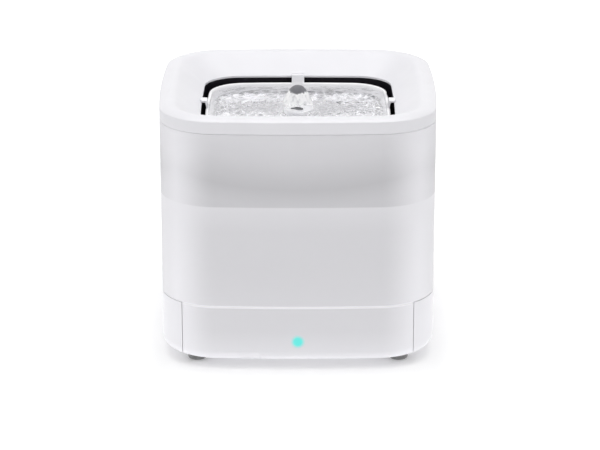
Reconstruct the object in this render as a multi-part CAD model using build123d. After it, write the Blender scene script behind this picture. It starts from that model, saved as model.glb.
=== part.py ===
from build123d import *
import os
from math import asin, atan, cos, pi, radians, sin, sqrt, tan

# Pet water fountain: a rounded cube with a frosted tank on a powered base, a ring lid that carries a
# drinking dish and a filter, and a submerged pump without a cord.
# Millimetres. Origin under the middle of the body at the level of the feet, +Z up, front to -Y.

# ---------------------------------------------------------------- driving sizes: outer form
WIDTH = 180.0              # across the flat sides, both ways
CORNER = 38.0              # plan radius of the body corners
BOW = 900.0                # plan radius of the slightly bowed sides
FOOT_DROP = 5.8            # height of the underside above the floor
BASE_HEIGHT = 37.5         # underside to the seam under the tank
TANK_HEIGHT = 114.9        # seam to the rim of the tank
LID_HEIGHT = 9.8           # rim of the tank to the crest of the lid
BOTTOM_ROUND = 7.0         # round along the bottom edge
CROWN_WIDTH = 7.0          # domed band along the outside of the crest
CROWN_DROP = 2.2           # outer edge of the band below the crest
CROWN_EDGE = 0.8           # round along that edge
CREST_SOFTNESS = 7.0       # inner round between crest and slope
CREST_STEPS = 4            # facets of that round
EDGE_BREAK = 0.5           # small chamfers on the lower side of a seam
EDGE_SOFT = 0.2            # smaller ones on its upper side

# ---------------------------------------------------------------- clearances
SEAM_GAP = 0.3             # shadow gap between base cheeks and tank
SLIDE_GAP = 0.3            # side clearance of parts that lift off each other
SNUG_GAP = 0.1             # parts held by friction, seals and potted pieces
RUNNING_GAP = 0.05         # radial clearance of turning and sliding fits
SOFT_GAP = 0.3             # pads and foam from the walls around them

# ---------------------------------------------------------------- base shell
CHEEK_WIDTH = 15.6         # sides of the body to the edges of the tank aprons
CORE_INSET = 6.8           # front wall behind the apron, from the outer surface
CORE_WALL = 2.4
CHEEK_WALL = 2.8
CHEEK_END = 24.0           # solid ends of the cheeks, before and behind their hollows
DECK_THICKNESS = 2.3
DECK_MARGIN = 12.0         # the tank rests on the deck inside this margin
BOSS_RADIUS = 30.0         # round boss that centres the tank over the coil
BOSS_HEIGHT = 1.8
BAY_WIDTH = 49.4           # rear bay with inlet and button
BAY_HEIGHT = 29.9
BAY_CORNER = 12.0
BAY_WALL = 2.8
POST_INSET = 18.0          # cover screw posts from the sides of the body
POST_Y = 36.0
POST_RADIUS = 4.0

# ---------------------------------------------------------------- bottom cover, feet and screws
COVER_THICKNESS = 2.5
COVER_GAP = 0.25
FOOT_SIDE = 24.5           # feet from the sides of the body
FOOT_END = 23.5            # feet from its front and rear
FOOT_RADIUS = 6.3
FOOT_SEAT = 1.0            # depth of the foot in the cover
FOOT_ROUND = 1.6
SCREW_RADIUS = 1.4
SCREW_LENGTH = 11.0
SCREW_HEAD_RADIUS = 2.9
SCREW_HEAD_HEIGHT = 1.4
VENT_LENGTH = 26.0
VENT_WIDTH = 2.2
VENT_PITCH = 6.0
VENT_COUNT = 5

# ---------------------------------------------------------------- electronics in the base
BOARD_WIDTH = 64.0
BOARD_FRONT_GAP = 8.8      # front edge of the board behind the front wall
BOARD_REAR_GAP = 10.8
BOARD_TONGUE_WIDTH = 38.0  # the tongue that reaches into the rear bay
BOARD_TONGUE_GAP = 3.2     # end of the tongue in front of the bay wall
BOARD_THICKNESS = 1.6
BOARD_LIFT = 5.0           # height of the board posts
BOARD_POST_RADIUS = 3.2
BOARD_HOLE_SIDE = 5.0      # board holes from the sides of the board
BOARD_HOLE_END = 10.0      # board holes from its rear edge
BOARD_SCREW_RADIUS = 1.1
BOARD_SCREW_HEAD = 2.3
BOARD_SCREW_HEAD_HEIGHT = 1.6
BOARD_SCREW_LENGTH = 6.0
COIL_OUTER = 27.0
COIL_INNER = 11.0
COIL_THICKNESS = 3.2
COIL_GROOVE_COUNT = 3
COIL_GROOVE = 0.8
FERRITE_MARGIN = 1.2       # ferrite disc beyond the rim of the coil
FERRITE_THICKNESS = 1.8
FERRITE_RING_WALL = 1.8
LEAD_RADIUS = 0.8
LEAD_SPACING = 6.0
LEAD_REACH = 8.0           # how far a lead runs sideways before it turns down
LEAD_BEND = 4.0
LIGHT_HEIGHT = 12.2        # light axis above the underside
LIGHT_RADIUS = 2.9
LIGHT_FLANGE_RADIUS = 4.0
LIGHT_FLANGE = 1.0
LED_WIDTH = 3.4
LED_DEPTH = 2.2
LED_CLEAR = 0.2            # gap between LED and light pipe
INLET_X = -11.0
INLET_WIDTH = 9.0
INLET_HEIGHT = 3.3
INLET_LENGTH = 9.2
INLET_WALL = 0.35
BAY_RECESS = 1.4           # depth of the recesses round inlet and button
BAY_RECESS_MARGIN = 2.2
TONGUE_WIDTH = 6.6
TONGUE_THICKNESS = 0.7
TONGUE_SHORT = 1.0
BUTTON_X = 11.0
BUTTON_RADIUS = 4.6
BUTTON_PROUD = 1.0         # above the floor of its recess
BUTTON_FLANGE = 1.0
BUTTON_STEM_RADIUS = 1.6
BUTTON_TRAVEL = 0.8
SWITCH_SIZE = 6.0
SWITCH_DEPTH = 3.4
SWITCH_PLUNGER = 1.0
SWITCH_SET_BACK = 1.0      # tip of the plunger behind the end of the board tongue
CHIP_SIZE = 11.0
CHIP_HEIGHT = 1.6
DRIVER_SIZE = 6.0
CAN_RADIUS = 3.2
CAN_HEIGHT = 7.6
CHOKE_RADIUS = 5.0
CHOKE_HEIGHT = 4.6
PARTS_ROW = 20.0           # spacing of the rows of parts on the board

# ---------------------------------------------------------------- tank
TANK_WALL = 2.5
TANK_FLOOR = 3.0
TANK_FLOOR_ROUND = 5.0
APRON_WALL = 3.0
HEM_HEIGHT = 8.0           # thicker hem along the bottom of the aprons
HEM_SLOPE = 4.0            # height over which the hem thins out
PAD_RISE = 2.0             # pump pad above the tank floor
PAD_MARGIN = 6.0           # pump pad round the pump
SEAT_HEIGHT = 5.0          # ring that holds the pump
SEAT_WALL = 2.2
SEAT_GATE = 16.0           # openings in the seat ring
LEVEL_RIB_LENGTH = 18.0
LEVEL_RIB = 0.8
LEVEL_LOW = 34.0           # height of the lower level rib above the tank floor
LEVEL_HIGH = 92.0          # height of the upper level rib above the tank floor

# ---------------------------------------------------------------- lid
RING_WIDTH = 26.7          # outer side to the opening for the dish
OPENING_CORNER = 24.0
OPENING_BOW = 1500.0
OPENING_DEPTH = 13.3       # edge of the opening below the crest
SLOPE_RUN = 17.0           # width of the slope down to the opening
SLOPE_SKIN = 3.4           # vertical thickness of the sloping wall
EDGE_FACE = 1.2            # upright face at the edge of the opening
COLLAR_WALL = 2.2
COLLAR_DEPTH = 7.0         # collar below the edge face
SKIRT_DEPTH = 7.4          # skirt reaching into the tank
SKIRT_WALL = 2.2
SEAL_HEIGHT = 2.0
SEAL_DEPTH = 1.0           # seal groove in the skirt
SEAL_DROP = 2.6            # top of the seal below the tank rim

# ---------------------------------------------------------------- gutter
GUTTER_WALL = 1.8
GUTTER_FLOOR = 2.0
GUTTER_SPACE = 5.9         # free height under the dish
GUTTER_FLANGE = 2.0
DRAIN_COUNT = 12
DRAIN_INNER = 20.0
DRAIN_MARGIN = 6.8         # outer ends of the drains inside the filter cartridge
DRAIN_WIDTH = 3.2
SLEEVE_CLEAR = 1.0         # hole for the dish spout, round the spout
SLEEVE_WALL = 1.6
SLEEVE_RISE = 2.0

# ---------------------------------------------------------------- filter cartridge
FILTER_MARGIN = 12.5       # cartridge inside the lid opening
FILTER_CORNER = 16.0
FILTER_BOW = 900.0
FILTER_HEIGHT = 12.2
FILTER_WALL = 1.8
FILTER_FLOOR = 1.6
FILTER_SOCKET = 7.0        # depth of the socket rim under the gutter
FILTER_HOLE_CLEAR = 2.0    # hole for riser and spout, round the spout
FILTER_SLOT = 3.0
FILTER_SLOT_PITCH = 8.0
FILTER_SLOT_SPREAD = 1.6   # length of a slot as a share of its distance from the middle
GRID_THICKNESS = 1.6
WADDING_THICKNESS = 3.8
GRIP_LENGTH = 18.0
GRIP_DEPTH = 3.0
GRIP_WALL = 2.0
GRIP_INSET = 5.0

# ---------------------------------------------------------------- dish
DISH_GAP = 2.3             # dark gap between dish and lid
DISH_CORNER = 24.5
DISH_BOW = 700.0
DISH_DROP = 3.9            # lip of the dish below the edge of the opening
DISH_DEPTH = 19.8          # outside depth
DISH_TAPER = 4.0           # how much each side draws in towards the floor
DISH_WALL = 2.2
DISH_ROUND = 6.0
LIP_ROUND = 0.9
HOOK_WIDTH = 8.4
HOOK_REACH = 0.8           # how far a hook lies on the lid slope
HOOK_THICKNESS = 1.1
HOOK_BEAD = 0.7            # raised bead along the tip of a hook
HOOK_GAP = 0.1
SPIGOT_HEIGHT = 5.0        # spigot that carries the nozzle
SPIGOT_WALL = 1.8
SPOUT_REACH = 4.9          # spout below the gutter

# ---------------------------------------------------------------- nozzle and riser
NOZZLE_TOP = 2.6           # top of the nozzle below the lip of the dish
NOZZLE_FOOT = 15.0
NOZZLE_NECK = 7.9
NOZZLE_MOUTH = 3.0
RISER_RADIUS = 6.0
RISER_BORE = 4.7
RISER_CLEARANCE = 0.2
RISER_SHORT = 2.0          # top of the riser above the dish floor
RING_HEIGHT = 1.8
RING_DEPTH = 0.9
RING_DROP = 2.0

# ---------------------------------------------------------------- pump
PUMP_RADIUS = 36.0
PUMP_PUCK = 13.0           # height of the wide lower part
PUMP_WALL = 2.0
PUMP_ROUND = 3.0
PUMP_PLATE = 1.8
TOWER_RADIUS = 22.5
TOWER_HEIGHT = 18.0
TOWER_WALL = 1.8
WELL_RADIUS = 7.0          # bore of the wet well for the rotor
WELL_WALL = 1.2
WELL_FLOOR = 1.5
PIVOT_RADIUS = 2.4
PIVOT_HEIGHT = 2.6
RECEIVER_OUTER = 29.0
RECEIVER_INNER = 12.0
RECEIVER_THICKNESS = 3.0
RECEIVER_GROOVE_COUNT = 2
PUMP_BOARD_THICKNESS = 1.4
STATOR_RING = 3.0
STATOR_HEIGHT = 8.0
STATOR_TOOTH = 5.0
WINDING_THICKNESS = 2.0
WINDING_TIP = 1.7          # bare end of a tooth inside its winding
WINDING_ROOT = 1.4         # bare end of a tooth outside its winding
SHAFT_RADIUS = 1.25
MAGNET_CLEAR = 0.7         # water gap round the magnet
MAGNET_HEIGHT = 11.0
MAGNET_LIFT = 1.0          # magnet above the pivot
SLEEVE_THICKNESS = 1.2     # impeller sleeve through the magnet
CHAMBER_RADIUS = 17.0
CHAMBER_WALL = 1.8
CHAMBER_HEIGHT = 9.0
CHAMBER_FLANGE = 1.5
CHAMBER_DOME = 4.5
WINDOW_HEIGHT = 2.8
WINDOW_WIDTH = 8.0
WINDOW_COUNT = 6
NIPPLE_HEIGHT = 6.0
NIPPLE_WALL = 1.2
SPIDER_HEIGHT = 1.6
SPOKE_COUNT = 3
SPOKE_TURN = 30.0          # degrees, first spoke between two windows
BLADE_COUNT = 5
BLADE_THICKNESS = 1.2
BLADE_HEIGHT = 5.0
BLADE_TWIST = 38.0
BLADE_CLEAR = 1.0
HUB_RADIUS = 4.2
IMPELLER_GAP = 1.2         # impeller above the well mouth
SPONGE_THICKNESS = 4.3
COVER_WALL = 1.6
COVER_HEIGHT = 27.0
INTAKE_SLOT_COUNT = 20
INTAKE_SLOT_WIDTH = 2.4
INTAKE_SLOT_HEIGHT = 17.0
INTAKE_SLOT_LIFT = 4.0
LUG_COUNT = 3
LUG_ANGLE = 18.0
LUG_WALL = 1.8
LUG_HEIGHT = 4.4
LUG_FOOT = 2.0             # feet of the intake cover, outward and upward
LUG_FOOT_ANGLE = 16.0

# ---------------------------------------------------------------- levels and widths that follow
HALF = WIDTH / 2
APRON_WIDTH = WIDTH - 2 * CHEEK_WIDTH
OPENING = WIDTH - 2 * RING_WIDTH
DISH_WIDTH = OPENING - 2 * DISH_GAP
FILTER_WIDTH = OPENING - 2 * FILTER_MARGIN
DRAIN_OUTER = FILTER_WIDTH / 2 - DRAIN_MARGIN
CORE_INNER = CORE_INSET + CORE_WALL
POST_X = HALF - POST_INSET
FOOT_X = HALF - FOOT_SIDE
FOOT_Y = HALF - FOOT_END
BOARD_FRONT = HALF - CORE_INNER - BOARD_FRONT_GAP
BOARD_REAR = HALF - CORE_INNER - BOARD_REAR_GAP
BOARD_TONGUE_END = HALF - BAY_WALL - BOARD_TONGUE_GAP
BOARD_HOLE_X = BOARD_WIDTH / 2 - BOARD_HOLE_SIDE
BOARD_HOLE_Y = BOARD_REAR - BOARD_HOLE_END
SWITCH_TIP = BOARD_TONGUE_END - SWITCH_SET_BACK
FERRITE_RADIUS = COIL_OUTER + FERRITE_MARGIN
PAD_RADIUS = PUMP_RADIUS + PAD_MARGIN
BORE_RADIUS = RISER_RADIUS + RISER_CLEARANCE
SPOUT_RADIUS = BORE_RADIUS + SPIGOT_WALL
SLEEVE_RADIUS = SPOUT_RADIUS + SLEEVE_CLEAR
FILTER_HOLE = SPOUT_RADIUS + FILTER_HOLE_CLEAR
MAGNET_RADIUS = WELL_RADIUS - MAGNET_CLEAR
STATOR_RADIUS = TOWER_RADIUS - TOWER_WALL - SNUG_GAP
TOOTH_TIP = WELL_RADIUS + WELL_WALL + SOFT_GAP
COVER_RADIUS = TOWER_RADIUS + SPONGE_THICKNESS + 2 * SOFT_GAP + COVER_WALL
UNDERSIDE = FOOT_DROP
SEAM = UNDERSIDE + BASE_HEIGHT
RIM = SEAM + TANK_HEIGHT
CREST = RIM + LID_HEIGHT
CHEEK_TOP = SEAM - SEAM_GAP
DECK_UNDER = SEAM - DECK_THICKNESS
COVER_TOP = UNDERSIDE + COVER_THICKNESS
BOARD_UNDER = COVER_TOP + BOARD_LIFT
BOARD_TOP = BOARD_UNDER + BOARD_THICKNESS
LIGHT_LEVEL = UNDERSIDE + LIGHT_HEIGHT
INLET_LEVEL = BOARD_TOP + INLET_HEIGHT / 2
BUTTON_LEVEL = BOARD_TOP + SWITCH_SIZE / 2
COIL_UNDER = DECK_UNDER - COIL_THICKNESS
FERRITE_UNDER = COIL_UNDER - FERRITE_THICKNESS
FLOOR = SEAM + TANK_FLOOR
PAD = FLOOR + PAD_RISE
EDGE = CREST - OPENING_DEPTH
EDGE_UNDER = EDGE - EDGE_FACE
COLLAR_END = EDGE_UNDER - COLLAR_DEPTH
LIP = EDGE - DISH_DROP
DISH_UNDER = LIP - DISH_DEPTH
DISH_FLOOR = DISH_UNDER + DISH_WALL
GUTTER_TOP = EDGE_UNDER - SNUG_GAP
GUTTER_INSIDE = DISH_UNDER - GUTTER_SPACE
GUTTER_UNDER = GUTTER_INSIDE - GUTTER_FLOOR
FILTER_UNDER = GUTTER_UNDER - FILTER_HEIGHT
SPOUT_END = GUTTER_UNDER - SPOUT_REACH
NOZZLE_CREST = LIP - NOZZLE_TOP
RISER_TOP = DISH_FLOOR + RISER_SHORT
PUCK_TOP = PAD + PUMP_PUCK
TOWER_TOP = PUCK_TOP + TOWER_HEIGHT
WELL_BOTTOM = PUCK_TOP - PUMP_WALL + WELL_FLOOR
PIVOT_TOP = WELL_BOTTOM + PIVOT_HEIGHT
IMPELLER_UNDER = TOWER_TOP + IMPELLER_GAP
CHAMBER_TOP = TOWER_TOP + CHAMBER_HEIGHT
DOME_TOP = CHAMBER_TOP + CHAMBER_DOME
COVER_UNDER = PUCK_TOP + SLIDE_GAP


# ---------------------------------------------------------------- shared shapes
def soft_square(half, corner, bow):
    """Face of a square with bowed sides and round corners, all arcs tangent."""
    turn = pi / 4 - asin((bow - half) / ((bow - corner) * sqrt(2)))
    across = bow * sin(turn)
    along = half - bow + bow * cos(turn)
    middle = (bow - corner) * sin(turn) + corner / sqrt(2)
    side = ThreePointArc((-across, along), (0, half), (across, along))
    bend = ThreePointArc((across, along), (middle, middle), (along, across))
    return make_face([Rot(0, 0, -90 * quarter) * arc for quarter in range(4) for arc in (side, bend)])


def plan(inset):
    """Outline of the body, moved inwards."""
    return soft_square(HALF - inset, CORNER - inset, BOW - inset)


def opening(grow):
    """Outline of the lid opening, moved outwards."""
    return soft_square(OPENING / 2 + grow, OPENING_CORNER + grow, OPENING_BOW + grow)


def dish_outline(inset, draw=0.0):
    """Outline of the dish lip, moved inwards and drawn in."""
    move = inset + draw
    return soft_square(DISH_WIDTH / 2 - move, DISH_CORNER - move, DISH_BOW - move)


def cartridge(inset):
    """Outline of the filter cartridge, moved inwards."""
    return soft_square(FILTER_WIDTH / 2 - inset, FILTER_CORNER - inset, FILTER_BOW - inset)


def prism(face, low, high):
    """Upright solid of a face between two levels."""
    return Pos(0, 0, low) * extrude(face, high - low)


def disc(radius, low, high, x=0.0, y=0.0):
    """Upright cylinder between two levels."""
    return Pos(x, y, (low + high) / 2) * Cylinder(radius, high - low)


def ring(outer, inner, low, high, x=0.0, y=0.0):
    """Upright tube between two levels."""
    return disc(outer, low, high, x, y) - disc(inner, low, high, x, y)


def block(x_range, y_range, z_range):
    """Box between given limits."""
    size = [high - low for low, high in (x_range, y_range, z_range)]
    middle = [(high + low) / 2 for low, high in (x_range, y_range, z_range)]
    return Pos(*middle) * Box(*size)


def rod(radius, x, z, y_range):
    """Cylinder along Y."""
    length = y_range[1] - y_range[0]
    return Pos(x, sum(y_range) / 2, z) * Rot(90, 0, 0) * Cylinder(radius, length)


def around(shape, count, start=0.0):
    """Copies of a shape turned evenly about the upright axis."""
    return [Rot(0, 0, start + 360 * number / count) * shape for number in range(count)]


def corners(x, y):
    """The four places that mirror (x, y)."""
    return [(side * x, end * y) for side in (-1, 1) for end in (-1, 1)]


def rounded_block(top):
    """Body outline from the underside up, with the round along its bottom edge."""
    body = prism(plan(0), UNDERSIDE, top)
    return fillet(body.faces().sort_by(Axis.Z)[0].edges(), BOTTOM_ROUND)


def arch(width, height, corner):
    """Doorway-shaped solid at the rear, from below the underside to a height above it."""
    outline = RectangleRounded(width, 2 * (height + UNDERSIDE), corner)
    return Pos(0, HALF / 2, 0) * extrude(Plane.XZ * outline, -HALF)


# ---------------------------------------------------------------- base
def make_base_shell():
    gap_half = APRON_WIDTH / 2 + SLIDE_GAP
    body = rounded_block(CHEEK_TOP)
    beside = block((-gap_half, gap_half), (-WIDTH, WIDTH), (0, SEAM))
    body -= beside - prism(plan(CORE_INSET), 0, SEAM)
    body += rounded_block(CHEEK_TOP) & arch(BAY_WIDTH, BAY_HEIGHT, BAY_CORNER)
    body += prism(plan(DECK_MARGIN), DECK_UNDER, SEAM)
    boss = disc(BOSS_RADIUS, SEAM, SEAM + BOSS_HEIGHT)
    body += chamfer(boss.edges().group_by(Axis.Z)[-1], EDGE_BREAK)
    body -= prism(plan(CORE_INNER), 0, DECK_UNDER)
    cheek_low = UNDERSIDE + BOTTOM_ROUND
    hollow_half = HALF - CHEEK_END
    reach = block((-WIDTH, WIDTH), (-hollow_half, hollow_half), (cheek_low, DECK_UNDER))
    body -= prism(plan(CHEEK_WALL), cheek_low, DECK_UNDER) & reach
    inside = arch(BAY_WIDTH - 2 * BAY_WALL, BAY_HEIGHT - BAY_WALL, BAY_CORNER - BAY_WALL)
    body -= prism(plan(BAY_WALL), COVER_TOP, DECK_UNDER) & inside
    for x, y in corners(POST_X, POST_Y):
        body += disc(POST_RADIUS, COVER_TOP, DECK_UNDER, x, y)
        body -= disc(SCREW_RADIUS + RUNNING_GAP, 0, COVER_TOP + SCREW_LENGTH, x, y)
    holder_inner = FERRITE_RADIUS + SNUG_GAP
    body += ring(holder_inner + FERRITE_RING_WALL, holder_inner, FERRITE_UNDER, DECK_UNDER)
    lead_half = LEAD_SPACING / 2 + LEAD_RADIUS + SLIDE_GAP
    body -= block((-lead_half, lead_half), (-HALF / 2, 0), (FERRITE_UNDER, DECK_UNDER))
    body -= rod(LIGHT_RADIUS + SNUG_GAP, 0, LIGHT_LEVEL, (-HALF, -HALF / 2))
    body -= rod(BUTTON_RADIUS + SLIDE_GAP, BUTTON_X, BUTTON_LEVEL, (HALF / 2, WIDTH))
    body -= oval(INLET_WIDTH + 2 * SNUG_GAP, INLET_HEIGHT + 2 * SNUG_GAP, (HALF / 2, WIDTH))
    recess = (HALF - BAY_RECESS, WIDTH)
    body -= oval(INLET_WIDTH + 2 * BAY_RECESS_MARGIN, INLET_HEIGHT + 2 * BAY_RECESS_MARGIN, recess)
    body -= rod(BUTTON_RADIUS + BAY_RECESS_MARGIN, BUTTON_X, BUTTON_LEVEL, recess)
    return body


def oval(width, height, y_range):
    """Slot-shaped solid along Y at the inlet."""
    outline = Plane.XZ * SlotOverall(width, height)
    return Pos(INLET_X, y_range[0], INLET_LEVEL) * extrude(outline, -(y_range[1] - y_range[0]))


def make_bottom_cover():
    body = prism(plan(CORE_INNER + COVER_GAP), UNDERSIDE, COVER_TOP)
    body = chamfer(body.edges().group_by(Axis.Z)[0], EDGE_BREAK)
    for x, y in corners(FOOT_X, FOOT_Y):
        body -= disc(FOOT_RADIUS + SNUG_GAP, 0, UNDERSIDE + FOOT_SEAT, x, y)
    for x, y in corners(POST_X, POST_Y):
        body -= disc(SCREW_RADIUS + SLIDE_GAP, 0, COVER_TOP, x, y)
        body -= disc(SCREW_HEAD_RADIUS + SLIDE_GAP, 0, UNDERSIDE + SCREW_HEAD_HEIGHT, x, y)
    for x, y in corners(BOARD_HOLE_X, BOARD_HOLE_Y):
        body += disc(BOARD_POST_RADIUS, COVER_TOP, BOARD_UNDER, x, y)
        body -= disc(BOARD_SCREW_RADIUS + RUNNING_GAP, BOARD_TOP - BOARD_SCREW_LENGTH, BOARD_UNDER, x, y)
    for number in range(VENT_COUNT):
        y = (number - (VENT_COUNT - 1) / 2) * VENT_PITCH
        body -= Pos(0, y, 0) * extrude(SlotOverall(VENT_LENGTH, VENT_WIDTH), COVER_TOP)
    return body


def make_foot(x, y):
    body = disc(FOOT_RADIUS, 0, UNDERSIDE + FOOT_SEAT, x, y)
    return fillet(body.edges().group_by(Axis.Z)[0], FOOT_ROUND)


def make_screw(x, y, shank, head, head_height, length, head_low, up):
    """Screw with its head at head_low, pointing up or down."""
    if up:
        top = head_low + head_height
        return disc(head, head_low, top, x, y) + disc(shank, top, top + length, x, y)
    cap = disc(head, head_low, head_low + head_height, x, y)
    return cap + disc(shank, head_low - length, head_low, x, y)


def make_cover_screws():
    length = COVER_TOP + SCREW_LENGTH - UNDERSIDE - SCREW_HEAD_HEIGHT - SLIDE_GAP
    return [
        make_screw(x, y, SCREW_RADIUS, SCREW_HEAD_RADIUS, SCREW_HEAD_HEIGHT, length, UNDERSIDE, True)
        for x, y in corners(POST_X, POST_Y)
    ]


def make_board_screws():
    return [
        make_screw(
            x, y, BOARD_SCREW_RADIUS, BOARD_SCREW_HEAD, BOARD_SCREW_HEAD_HEIGHT,
            BOARD_SCREW_LENGTH, BOARD_TOP, False,
        )
        for x, y in corners(BOARD_HOLE_X, BOARD_HOLE_Y)
    ]


def make_control_board():
    half = BOARD_WIDTH / 2
    tongue = BOARD_TONGUE_WIDTH / 2
    levels = (BOARD_UNDER, BOARD_TOP)
    body = block((-half, half), (-BOARD_FRONT, BOARD_REAR), levels)
    body += block((-tongue, tongue), (BOARD_REAR, BOARD_TONGUE_END), levels)
    for x, y in corners(BOARD_HOLE_X, BOARD_HOLE_Y):
        body -= disc(BOARD_SCREW_RADIUS + RUNNING_GAP, BOARD_UNDER, BOARD_TOP, x, y)
    return body


def make_board_parts():
    """Controller chip, two capacitors, choke and two coil drivers on the control board."""
    chip = prism(Rectangle(CHIP_SIZE, CHIP_SIZE), BOARD_TOP, BOARD_TOP + CHIP_HEIGHT)
    driver = prism(Rectangle(DRIVER_SIZE, DRIVER_SIZE), BOARD_TOP, BOARD_TOP + CHIP_HEIGHT)
    can = disc(CAN_RADIUS, BOARD_TOP, BOARD_TOP + CAN_HEIGHT)
    parts = [Pos(0, PARTS_ROW, 0) * chip, disc(CHOKE_RADIUS, BOARD_TOP, BOARD_TOP + CHOKE_HEIGHT, PARTS_ROW)]
    parts += [Pos(x, 0, 0) * driver for x in (-PARTS_ROW, -PARTS_ROW / 2)]
    parts += [Pos(x, 2 * PARTS_ROW, 0) * can for x in (-PARTS_ROW / 2, PARTS_ROW / 2)]
    return parts


def make_transmitter_coil():
    return make_coil(COIL_OUTER, COIL_INNER, COIL_UNDER, DECK_UNDER, COIL_GROOVE_COUNT, True)


def make_coil(outer, inner, low, high, grooves, groove_low):
    """Flat wound coil with grooves between its bundles of turns."""
    body = ring(outer, inner, low, high)
    pitch = (outer - inner) / (grooves + 1)
    for number in range(1, grooves + 1):
        middle = inner + pitch * number
        floor = low if groove_low else high - COIL_GROOVE
        body -= ring(middle + COIL_GROOVE / 2, middle - COIL_GROOVE / 2, floor, floor + COIL_GROOVE)
    return body


def make_coil_lead(x):
    """Round wire from the rim of the coil, sideways and then down to the board."""
    level = DECK_UNDER - COIL_THICKNESS / 2
    start = (x, -sqrt(COIL_OUTER ** 2 - x ** 2) - RUNNING_GAP, level)
    turn = (x, -COIL_OUTER - LEAD_REACH, level)
    end = (x, -COIL_OUTER - LEAD_REACH, BOARD_TOP)
    path = FilletPolyline(start, turn, end, radius=LEAD_BEND)
    section = Plane(origin=start, z_dir=(0, -1, 0)) * Circle(LEAD_RADIUS)
    return sweep(section, path=path)


def make_light_pipe():
    face = -(HALF - CORE_INSET)
    wall = -(HALF - CORE_INNER)
    body = rod(LIGHT_RADIUS, 0, LIGHT_LEVEL, (face, -BOARD_FRONT - LED_CLEAR))
    return body + rod(LIGHT_FLANGE_RADIUS, 0, LIGHT_LEVEL, (wall + RUNNING_GAP, wall + LIGHT_FLANGE))


def make_led():
    levels = (BOARD_TOP, LIGHT_LEVEL + LED_WIDTH / 2)
    body = block((-LED_WIDTH / 2, LED_WIDTH / 2), (-BOARD_FRONT, -BOARD_FRONT + LED_DEPTH), levels)
    return fillet(body.edges().filter_by(Axis.Z), LED_WIDTH / 8)


def make_inlet_shell():
    mouth = HALF - BAY_RECESS
    body = oval(INLET_WIDTH, INLET_HEIGHT, (mouth - INLET_LENGTH, mouth))
    hollow = oval(
        INLET_WIDTH - 2 * INLET_WALL, INLET_HEIGHT - 2 * INLET_WALL,
        (mouth - INLET_LENGTH + 2 * INLET_WALL, WIDTH),
    )
    return body - hollow


def make_inlet_tongue():
    mouth = HALF - BAY_RECESS
    thickness = TONGUE_THICKNESS / 2
    half = TONGUE_WIDTH / 2
    return block(
        (INLET_X - half, INLET_X + half),
        (mouth - INLET_LENGTH + 2 * INLET_WALL, mouth - TONGUE_SHORT),
        (INLET_LEVEL - thickness, INLET_LEVEL + thickness),
    )


def make_tact_switch():
    half = SWITCH_SIZE / 2
    front = SWITCH_TIP - SWITCH_PLUNGER
    levels = (BOARD_TOP, BOARD_TOP + SWITCH_SIZE)
    body = block((BUTTON_X - half, BUTTON_X + half), (front - SWITCH_DEPTH, front), levels)
    return body + rod(BUTTON_STEM_RADIUS, BUTTON_X, BUTTON_LEVEL, (front, SWITCH_TIP))


def make_mode_button():
    wall = HALF - BAY_WALL - SLIDE_GAP
    outer = HALF - BAY_RECESS + BUTTON_PROUD
    cap = rod(BUTTON_RADIUS, BUTTON_X, BUTTON_LEVEL, (wall - BUTTON_FLANGE, outer))
    cap = fillet(cap.edges().group_by(Axis.Y)[-1], BUTTON_PROUD / 2)
    flange_radius = BUTTON_RADIUS + BUTTON_FLANGE
    cap += rod(flange_radius, BUTTON_X, BUTTON_LEVEL, (wall - BUTTON_FLANGE, wall))
    stem_end = SWITCH_TIP + BUTTON_TRAVEL + RUNNING_GAP
    return cap + rod(BUTTON_STEM_RADIUS, BUTTON_X, BUTTON_LEVEL, (stem_end, wall))


# ---------------------------------------------------------------- tank
def make_apron():
    """Skin in front of and behind the base, with a thicker hem along its bottom."""
    half = APRON_WIDTH / 2
    skin = rounded_block(SEAM)
    skin = chamfer(skin.edges().group_by(Axis.Z)[-1], EDGE_BREAK)
    skin &= block((-half, half), (-WIDTH, WIDTH), (0, WIDTH))
    hem_top = UNDERSIDE + HEM_HEIGHT
    hem_inset = CORE_INSET - SLIDE_GAP
    skin -= prism(plan(hem_inset), 0, hem_top)
    skin -= loft([
        Pos(0, 0, hem_top) * plan(hem_inset),
        Pos(0, 0, hem_top + HEM_SLOPE) * plan(APRON_WALL),
    ], ruled=True)
    skin -= prism(plan(APRON_WALL), hem_top + HEM_SLOPE, SEAM)
    door_corner = BAY_CORNER + SLIDE_GAP
    door = arch(BAY_WIDTH + 2 * SLIDE_GAP, BAY_HEIGHT + SLIDE_GAP, door_corner)
    return skin - door


def make_water_tank():
    body = prism(plan(0), SEAM, RIM)
    body = chamfer(body.edges().group_by(Axis.Z)[0], EDGE_SOFT)
    body = chamfer(body.edges().group_by(Axis.Z)[-1], EDGE_BREAK)
    hollow = prism(plan(TANK_WALL), FLOOR, RIM)
    body -= fillet(hollow.edges().group_by(Axis.Z)[0], TANK_FLOOR_ROUND)
    body += disc(PAD_RADIUS, FLOOR, PAD)
    body -= disc(BOSS_RADIUS + SLIDE_GAP, SEAM, SEAM + PAD_RISE)
    seat_inner = PUMP_RADIUS + SLIDE_GAP
    seat = ring(seat_inner + SEAT_WALL, seat_inner, PAD, PAD + SEAT_HEIGHT)
    gate = block((0, PAD_RADIUS), (-SEAT_GATE / 2, SEAT_GATE / 2), (PAD, PAD + SEAT_HEIGHT))
    for opening_gate in around(gate, 4, 45):
        seat -= opening_gate
    body += seat
    rear = HALF - TANK_WALL
    for height in (LEVEL_LOW, LEVEL_HIGH):
        level = FLOOR + height
        half = LEVEL_RIB_LENGTH / 2
        body += block((-half, half), (rear - LEVEL_RIB, rear + LEVEL_RIB), (level - LEVEL_RIB, level))
    return body + make_apron()


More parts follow.
